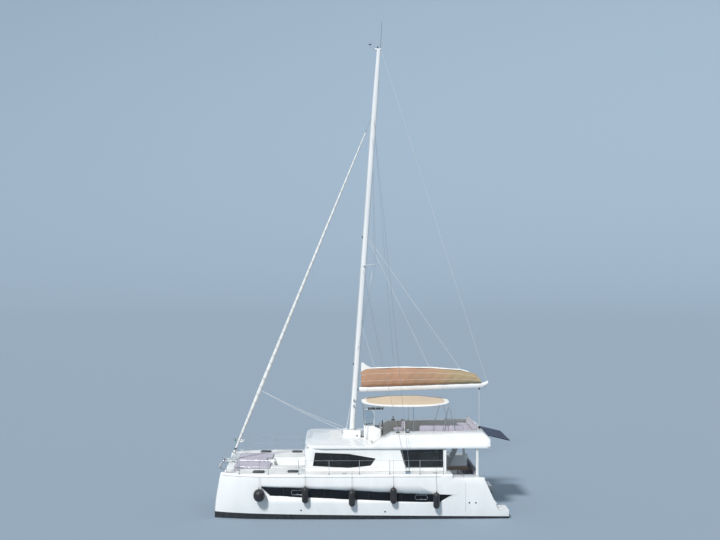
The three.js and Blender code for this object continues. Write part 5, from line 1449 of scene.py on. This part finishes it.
# Guard rails: polished steel stanchions in sockets bolted to the deck, with two wires through them. Bent
# pulpits close them forward, each with a seat and a navigation light.
POSTS = (5.25, 4.0, 2.7, 1.4, 0.1, -1.2, -2.5, -3.5)
WIRES = (0.31, 0.598)
PULPIT_Y = 2.72
PULPIT = ((5.6, 0.245, 2.558), (5.95, 0.13, 2.58), (6.05, 0, 2.588), (5.95, -0.13, 2.58),
          (5.6, -0.235, 2.548), (5.45, -0.26, 2.53), (5.4, -0.26, 2.3), (5.38, -0.26, DECK))
PULPIT_FEET = ((5.8, 0.09), (5.38, -0.26))
SEAT_BEARERS = (5.58, 5.78)
LIGHT_OUT = 0.07
port_light = tinted("port_light_red", (0.5, 0.01, 0.01), 0.4)
starboard_light = tinted("starboard_light_green", (0.0, 0.3, 0.06), 0.4)


def on_pulpit(side, *points):
    """Points of a bow pulpit, each measured out from its middle"""
    return [Vector((x, side * (PULPIT_Y + out), z)) for x, out, z in points]


for name, side in SIDES:
    bm = bmesh.new()
    rail_skin = skin_of(f"guard_rail_{name}")
    posts = []
    for x in POSTS:
        start = Vector((x, side * WELL_OUTSIDE, DECK + 0.45))
        hit = rail_skin.ray_cast(start, Vector((0, -side, 0)))[0]
        posts.append(Vector((x, hit.y - side * 0.012, DECK)))
    for post in posts:
        post_in(bm, post, PANEL_LIFT, 0.61, 0.0125, 0.0115, 14)
        post_in(bm, post, PANEL_LIFT, 0.012, 0.042, 0.038, 20)
        post_in(bm, post, 0.012, 0.09, 0.021, 0.018, 16)
        for height in WIRES:
            pin_in(bm, over(post, height), 0.019, 0.008, 10)
    for height in WIRES:
        tube_in(bm, [[over(post, height) for post in posts]], 0.0042)
    bend = [over(posts[0], WIRES[1])] + on_pulpit(side, *PULPIT)
    tube_in(bm, [bend], 0.0125, smooth=True, fine=3)
    tube_in(bm, [on_pulpit(side, (5.8, 0.09, DECK), (5.95, 0.13, 2.578))], 0.0125, fine=3)
    for x, out in PULPIT_FEET:
        post_in(bm, *on_pulpit(side, (x, out, DECK)), PANEL_LIFT, 0.012, 0.042, 0.038, 20)
    for x in SEAT_BEARERS:
        bearer = on_pulpit(side, (x, 0.24, 2.552), (x, 0.19, 2.43), (x, -0.19, 2.43), (x, -0.243, 2.548))
        tube_in(bm, [bearer], 0.01)
    seat = inside(box_on(side, (5.52, 5.84, PULPIT_Y - 0.175, PULPIT_Y + 0.175)), 0, 0.07)
    plate_in(bm, seat, 2.438, 2.468, 0.008, 3)
    lamp = on_pulpit(side, (5.93, LIGHT_OUT, 2.46))[0]
    box_by(bm, lamp, (-0.03, -0.03, -0.02), (0.03, 0.03, 0), 0.004)
    post_in(bm, lamp, 0, 0.07, 0.026, 0.026, 18, 1)
    post_in(bm, lamp, 0.07, 0.09, 0.03, 0.02, 18, 2)
    light = port_light if side > 0 else starboard_light
    rail_finish = [steel, light, rubber, gelcoat]
    piece(f"guard_rail_tubes_{name}", bm, rail_finish, "boat", [f"guard_rail_{name}"])

# Deck gear: horned mooring cleats of cast steel, bolted down at bow, midships and stern, and a galvanised
# anchor with its shank on the bow roller.
CLEATS = ((5.62, DECK), (0.75, DECK), (-3.15, DECK), (-4.35, 1.78))
CLEAT_INSET, STERN_CLEAT_OUT = 0.14, 3.2
galvanised = metal("galvanised_steel", (0.5, 0.51, 0.52), (0.45, 0.7), (1, 1, 1), 40)
bm = bmesh.new()
for _, side in SIDES:
    for x, z in CLEATS:
        out = deck_edge(side, x) - CLEAT_INSET if z == DECK else STERN_CLEAT_OUT
        cleat = Vector((x, side * out, z))
        for shift in (-0.045, 0.045):
            post_in(bm, cleat + Vector((shift, 0, 0)), -0.002, 0.05, 0.014, 0.011, 14)
        box_by(bm, cleat, (-0.07, -0.022, -0.002), (0.07, 0.022, 0.008), 0.003)
        waist = over(cleat, 0.052)
        rod_in(bm, cleat + Vector((-0.13, 0, 0.058)), waist, 0.007, 0.015, 14)
        rod_in(bm, waist, cleat + Vector((0.13, 0, 0.058)), 0.015, 0.007, 14)
piece("mooring_cleats", bm, steel)
moulded("bow_roller", steel, 0.003, "steel", least=40)
moulded("anchor", galvanised, 0.004, "galvanised", least=40)
bm = bmesh.new()
pin_in(bm, (6.16, 0.33, 1.975), 0.045, 0.012, 14, 1)
for y in (0.3, 0.36):
    pin_in(bm, (6.19, y, 1.985), 0.008, 0.02, 20)
piece("roller_pin", bm, [rubber, steel])

# Fenders: black inflated rubber, a ball forward and four cylinders, with ribbed ends and moulded eyes. Each
# hangs from the upper guard wire by a thin dark rope, knotted round it.
FENDERS = (("fender_ball", 4.38, 1.11, 0.245, 0.27), ("fender_1", 2.42, 1.11, 0.14, 0.35),
           ("fender_2", 0.42, 0.97, 0.14, 0.35), ("fender_3", -1.35, 1.08, 0.14, 0.35),
           ("fender_4", -3.19, 0.86, 0.14, 0.35))
fender_rubber = black_rubber("fender_rubber", (0.014, 0.014, 0.016), (0.35, 0.6))
dark_rope = canvas("dark_rope", (0.05, 0.05, 0.055), (0.03, 0.03, 0.034), 900)
for node, x, z, radius, half in FENDERS:
    outer = skin_of(node).ray_cast(Vector((x, WELL_OUTSIDE, z)), Vector((0, -1, 0)))[0]
    middle = Vector((x, outer.y - radius, z))
    straight = half - radius
    lower = [(0, 0, -half)]
    for turn in (math.radians(-80 + 10 * k) for k in range(9)):
        lower.append((radius * math.cos(turn), 0, radius * math.sin(turn) - straight))
    bm = bmesh.new()
    profile = traced(bm, lower + [(r, 0, -h) for r, _, h in reversed(lower)])
    spun(bm, profile, (0, 0, 1), 40, 0.0005)
    bmesh.ops.translate(bm, verts=bm.verts, vec=middle)
    for end in (1, -1):
        for k in range(3):
            level = end * (half - 0.03 - 0.028 * k)
            rib = math.sqrt(max(0.0004, radius ** 2 - max(0, abs(level) - straight) ** 2))
            tube_in(bm, [ring(over(middle, level), (rib, 0, 0), (0, rib, 0), 32)], 0.0035, closed=True)
    top = over(middle, half)
    post_in(bm, top, -0.02, 0.035, 0.028, 0.018, 20)
    tube_in(bm, [ring(over(top, 0.045), (0.022, 0, 0), (0, 0, 0.022), 20)], 0.007, closed=True)
    post_y = max(v.co.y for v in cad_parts[node].data.vertices if v.co.z > 2.4)
    wire = Vector((x, post_y - 0.004, DECK + 0.594))
    tube_in(bm, [[over(top, 0.055), wire]], 0.0045, index=1)
    knot = [wire + Vector((0.006 * math.sin(3 * turn), 0.012 * math.cos(turn), 0.012 * math.sin(turn)))
            for turn in turns(24)]
    tube_in(bm, [knot], 0.0045, closed=True, index=1)
    piece(f"{node}_skin", bm, [fender_rubber, dark_rope], "boat", [node])

# Solar panels: three modules of dark blue silicon cells under glass, in black aluminium frames, side by side
# over the stern. Steel tubes across and along carry them.
SOLAR_FORE, SOLAR_AFT = Vector((-5.65, 0, 3.31)), Vector((-6.66, 0, 3.07))
SOLAR_THICK, SOLAR_HALF = 0.035, 1.45
CELL_LONG, CELL_WIDE, HAIRLINES = 0.1585, 0.15815, 0.0395
CELL_GAP, HAIRLINE = 0.0032, 0.0007
MODULES = 3


def solar_cells():
    material, shader = shaded("solar_cells", IOR=1.4, Specular_IOR_Level=0.08)
    place = own_axes(material)
    lines = []
    for axis, shift, step, width in (("X", -SOLAR_AFT.x, CELL_LONG, CELL_GAP),
                                     ("Y", SOLAR_HALF, CELL_WIDE, CELL_GAP),
                                     ("Y", SOLAR_HALF, HAIRLINES, HAIRLINE)):
        moved = worked_out(material, "ADD", place[axis], shift)
        across = worked_out(material, "PINGPONG", moved, step / 2)
        lines.append(worked_out(material, "LESS_THAN", across, width))
    gaps = worked_out(material, "MAXIMUM", lines[0], lines[1])
    cells = between(material, noise(material, 5, 3), (0.006, 0.01, 0.045), (0.012, 0.02, 0.075))
    cells = either(material, lines[2], cells, (0.06, 0.07, 0.12))
    coated(material, shader, either(material, gaps, cells, (0.16, 0.17, 0.2)),
           between(material, noise(material, 9), 0.3, 0.45))
    raised(material, shader, noise(material, 2, 2), 0.002, 0.2)
    return material


cells = solar_cells()
slope = SOLAR_FORE - SOLAR_AFT
reach, up = slope.length, slope.normalized()
lie = Matrix.Translation(SOLAR_AFT) @ Matrix(((up.x, 0, -up.z, 0), (0, 1, 0, 0),
                                              (up.z, 0, up.x, 0), (0, 0, 0, 1)))
wide = 2 * SOLAR_HALF / MODULES
RIM = 0.026
bm = bmesh.new()
for k in range(MODULES):
    y0 = -SOLAR_HALF + wide * k + 0.004
    y1 = y0 + wide - 0.008
    for x0, x1, low, high in ((0.004, 0.03, y0, y1), (reach - 0.03, reach - 0.004, y0, y1),
                              (0.03, reach - 0.03, y0, y0 + RIM), (0.03, reach - 0.03, y1 - RIM, y1)):
        box_in(bm, (x0, low, 0.001), (x1, high, SOLAR_THICK - 0.001), 0.003)
    box_in(bm, (0.028, y0 + 0.024, 0.012), (reach - 0.028, y1 - 0.024, SOLAR_THICK - 0.005), 0, 1)
bmesh.ops.transform(bm, verts=bm.verts, matrix=lie)
piece("solar_modules", bm, [black_alloy, cells], "boat", ["solar_panels"])

BEARER_Z = -0.0145
BEARERS, CROSS_HALF = (-1.1, 0, 1.1), 1.37
bm = bmesh.new()
for y in BEARERS:
    rod_in(bm, lie @ Vector((0.06, y, BEARER_Z)), lie @ Vector((reach + 0.03, y, BEARER_Z)), 0.014, 0.014, 16)
for along in (0.09, reach - 0.09):
    pin_in(bm, lie @ Vector((along, 0, BEARER_Z)), CROSS_HALF, 0.014)
    for y in (-CROSS_HALF, CROSS_HALF):
        pin_in(bm, lie @ Vector((along, y, BEARER_Z)), 0.004, 0.016)
piece("solar_frame_tubes", bm, steel, "boat", ["solar_frame"])
stuff_pads()
